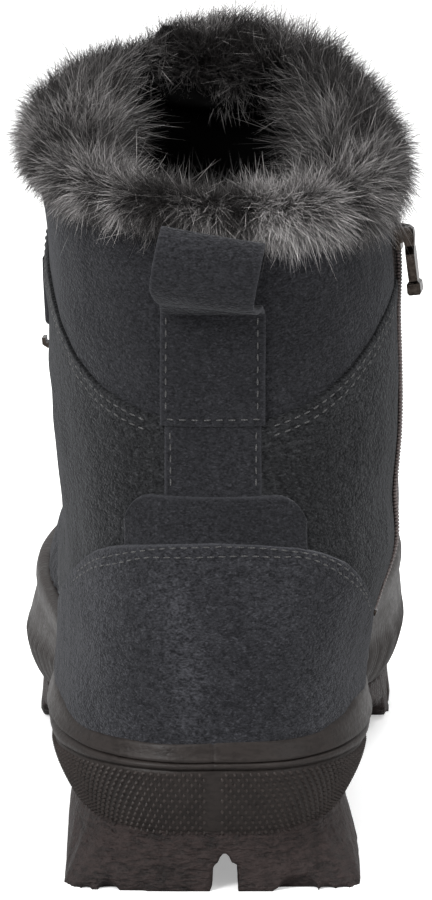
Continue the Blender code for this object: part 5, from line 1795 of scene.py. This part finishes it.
def make_room():
    """A pale floor and a plain white room, both lighter to the camera than to the boot."""
    mesh = flat_grid("floor", 1, 1, 4.0)
    pale, wires, shader = new_material("pale_floor", 0.9, specular=0.0)
    seen = wires.node("ShaderNodeLightPath").outputs["Is Camera Ray"]
    shader.inputs["Emission Color"].default_value = grey(1.0)
    wires.join(shader, Base_Color=wires.mix(seen, grey(0.6), grey(0.95)),
               Emission_Strength=wires.times(seen, 0.35))
    mesh.materials.append(pale)
    floor = bpy.data.objects.new("floor", mesh)
    bpy.context.scene.collection.objects.link(floor)
    world = bpy.data.worlds.new("room")
    world.use_nodes = True
    wires = Wiring(world.node_tree)
    seen = wires.node("ShaderNodeLightPath").outputs["Is Camera Ray"]
    back = world.node_tree.nodes["Background"]
    back.inputs["Color"].default_value = grey(1.0)
    wires.join(back, Strength=wires.spread(seen, 0.0, 1.0, 0.7, 1.05))
    bpy.context.scene.world = world


def add_light(name, place_at, aim, size, power):
    """A round lamp that points at a place."""
    data = bpy.data.lights.new(name, "AREA")
    data.shape, data.size, data.energy = "DISK", size, power
    lamp = bpy.data.objects.new(name, data)
    lamp.location = place_at
    lamp.rotation_euler = (Vector(aim) - Vector(place_at)).to_track_quat("-Z", "Y").to_euler()
    bpy.context.scene.collection.objects.link(lamp)


CAMERA_TILT, CAMERA_AWAY = 11.3, 1.5  # degrees down and metres back
AIM_FROM = Vector((-0.00028, -0.1323, 0.0))   # at the heel, on the ground
AIM_UP = 0.1063               # from there to the middle of the view


def make_camera():
    """A long lens straight behind the heel, a little above."""
    tilt = math.radians(CAMERA_TILT)
    look, over = Vector((0, math.cos(tilt), -math.sin(tilt))), Vector((0, math.sin(tilt), math.cos(tilt)))
    data = bpy.data.cameras.new("camera")
    data.sensor_fit, data.sensor_height, data.lens = "VERTICAL", 24.0, 166.67
    data.clip_end = 20.0
    camera = bpy.data.objects.new("camera", data)
    camera.location = AIM_FROM + over * AIM_UP - look * CAMERA_AWAY
    camera.rotation_euler = look.to_track_quat("-Z", "Y").to_euler()
    bpy.context.scene.collection.objects.link(camera)
    bpy.context.scene.camera = camera


def finish_hardware():
    """Gives the CAD's own metal pieces their dark metal."""
    for name, node in NODES.items():
        if name.startswith(("lace_loop", "lace_hook", "side_hook", "zip_slider", "zip_pull")):
            node.data.materials.clear()
            node.data.materials.append(FINISH["metal"])


make_shell()
make_lining()
make_quarters()
make_facings()
make_back_tab()
make_counter()
make_backstay()
make_strap()
make_side_tab()
make_stitching()
make_cup()
make_dots()
make_tread()
make_footbed()
make_tongue()
make_fur()
make_zip()
make_laces()
finish_hardware()
make_room()
make_camera()
add_light("key", (-1.3, -1.5, 1.7), (0, 0, 0.08), 1.0, 46.0)
add_light("top", (0.2, 0.1, 2.2), (0, 0, 0.1), 1.4, 34.0)
add_light("fill", (1.5, -1.2, 0.8), (0, 0, 0.1), 1.2, 9.0)
bpy.context.scene.view_settings.view_transform = "Standard"
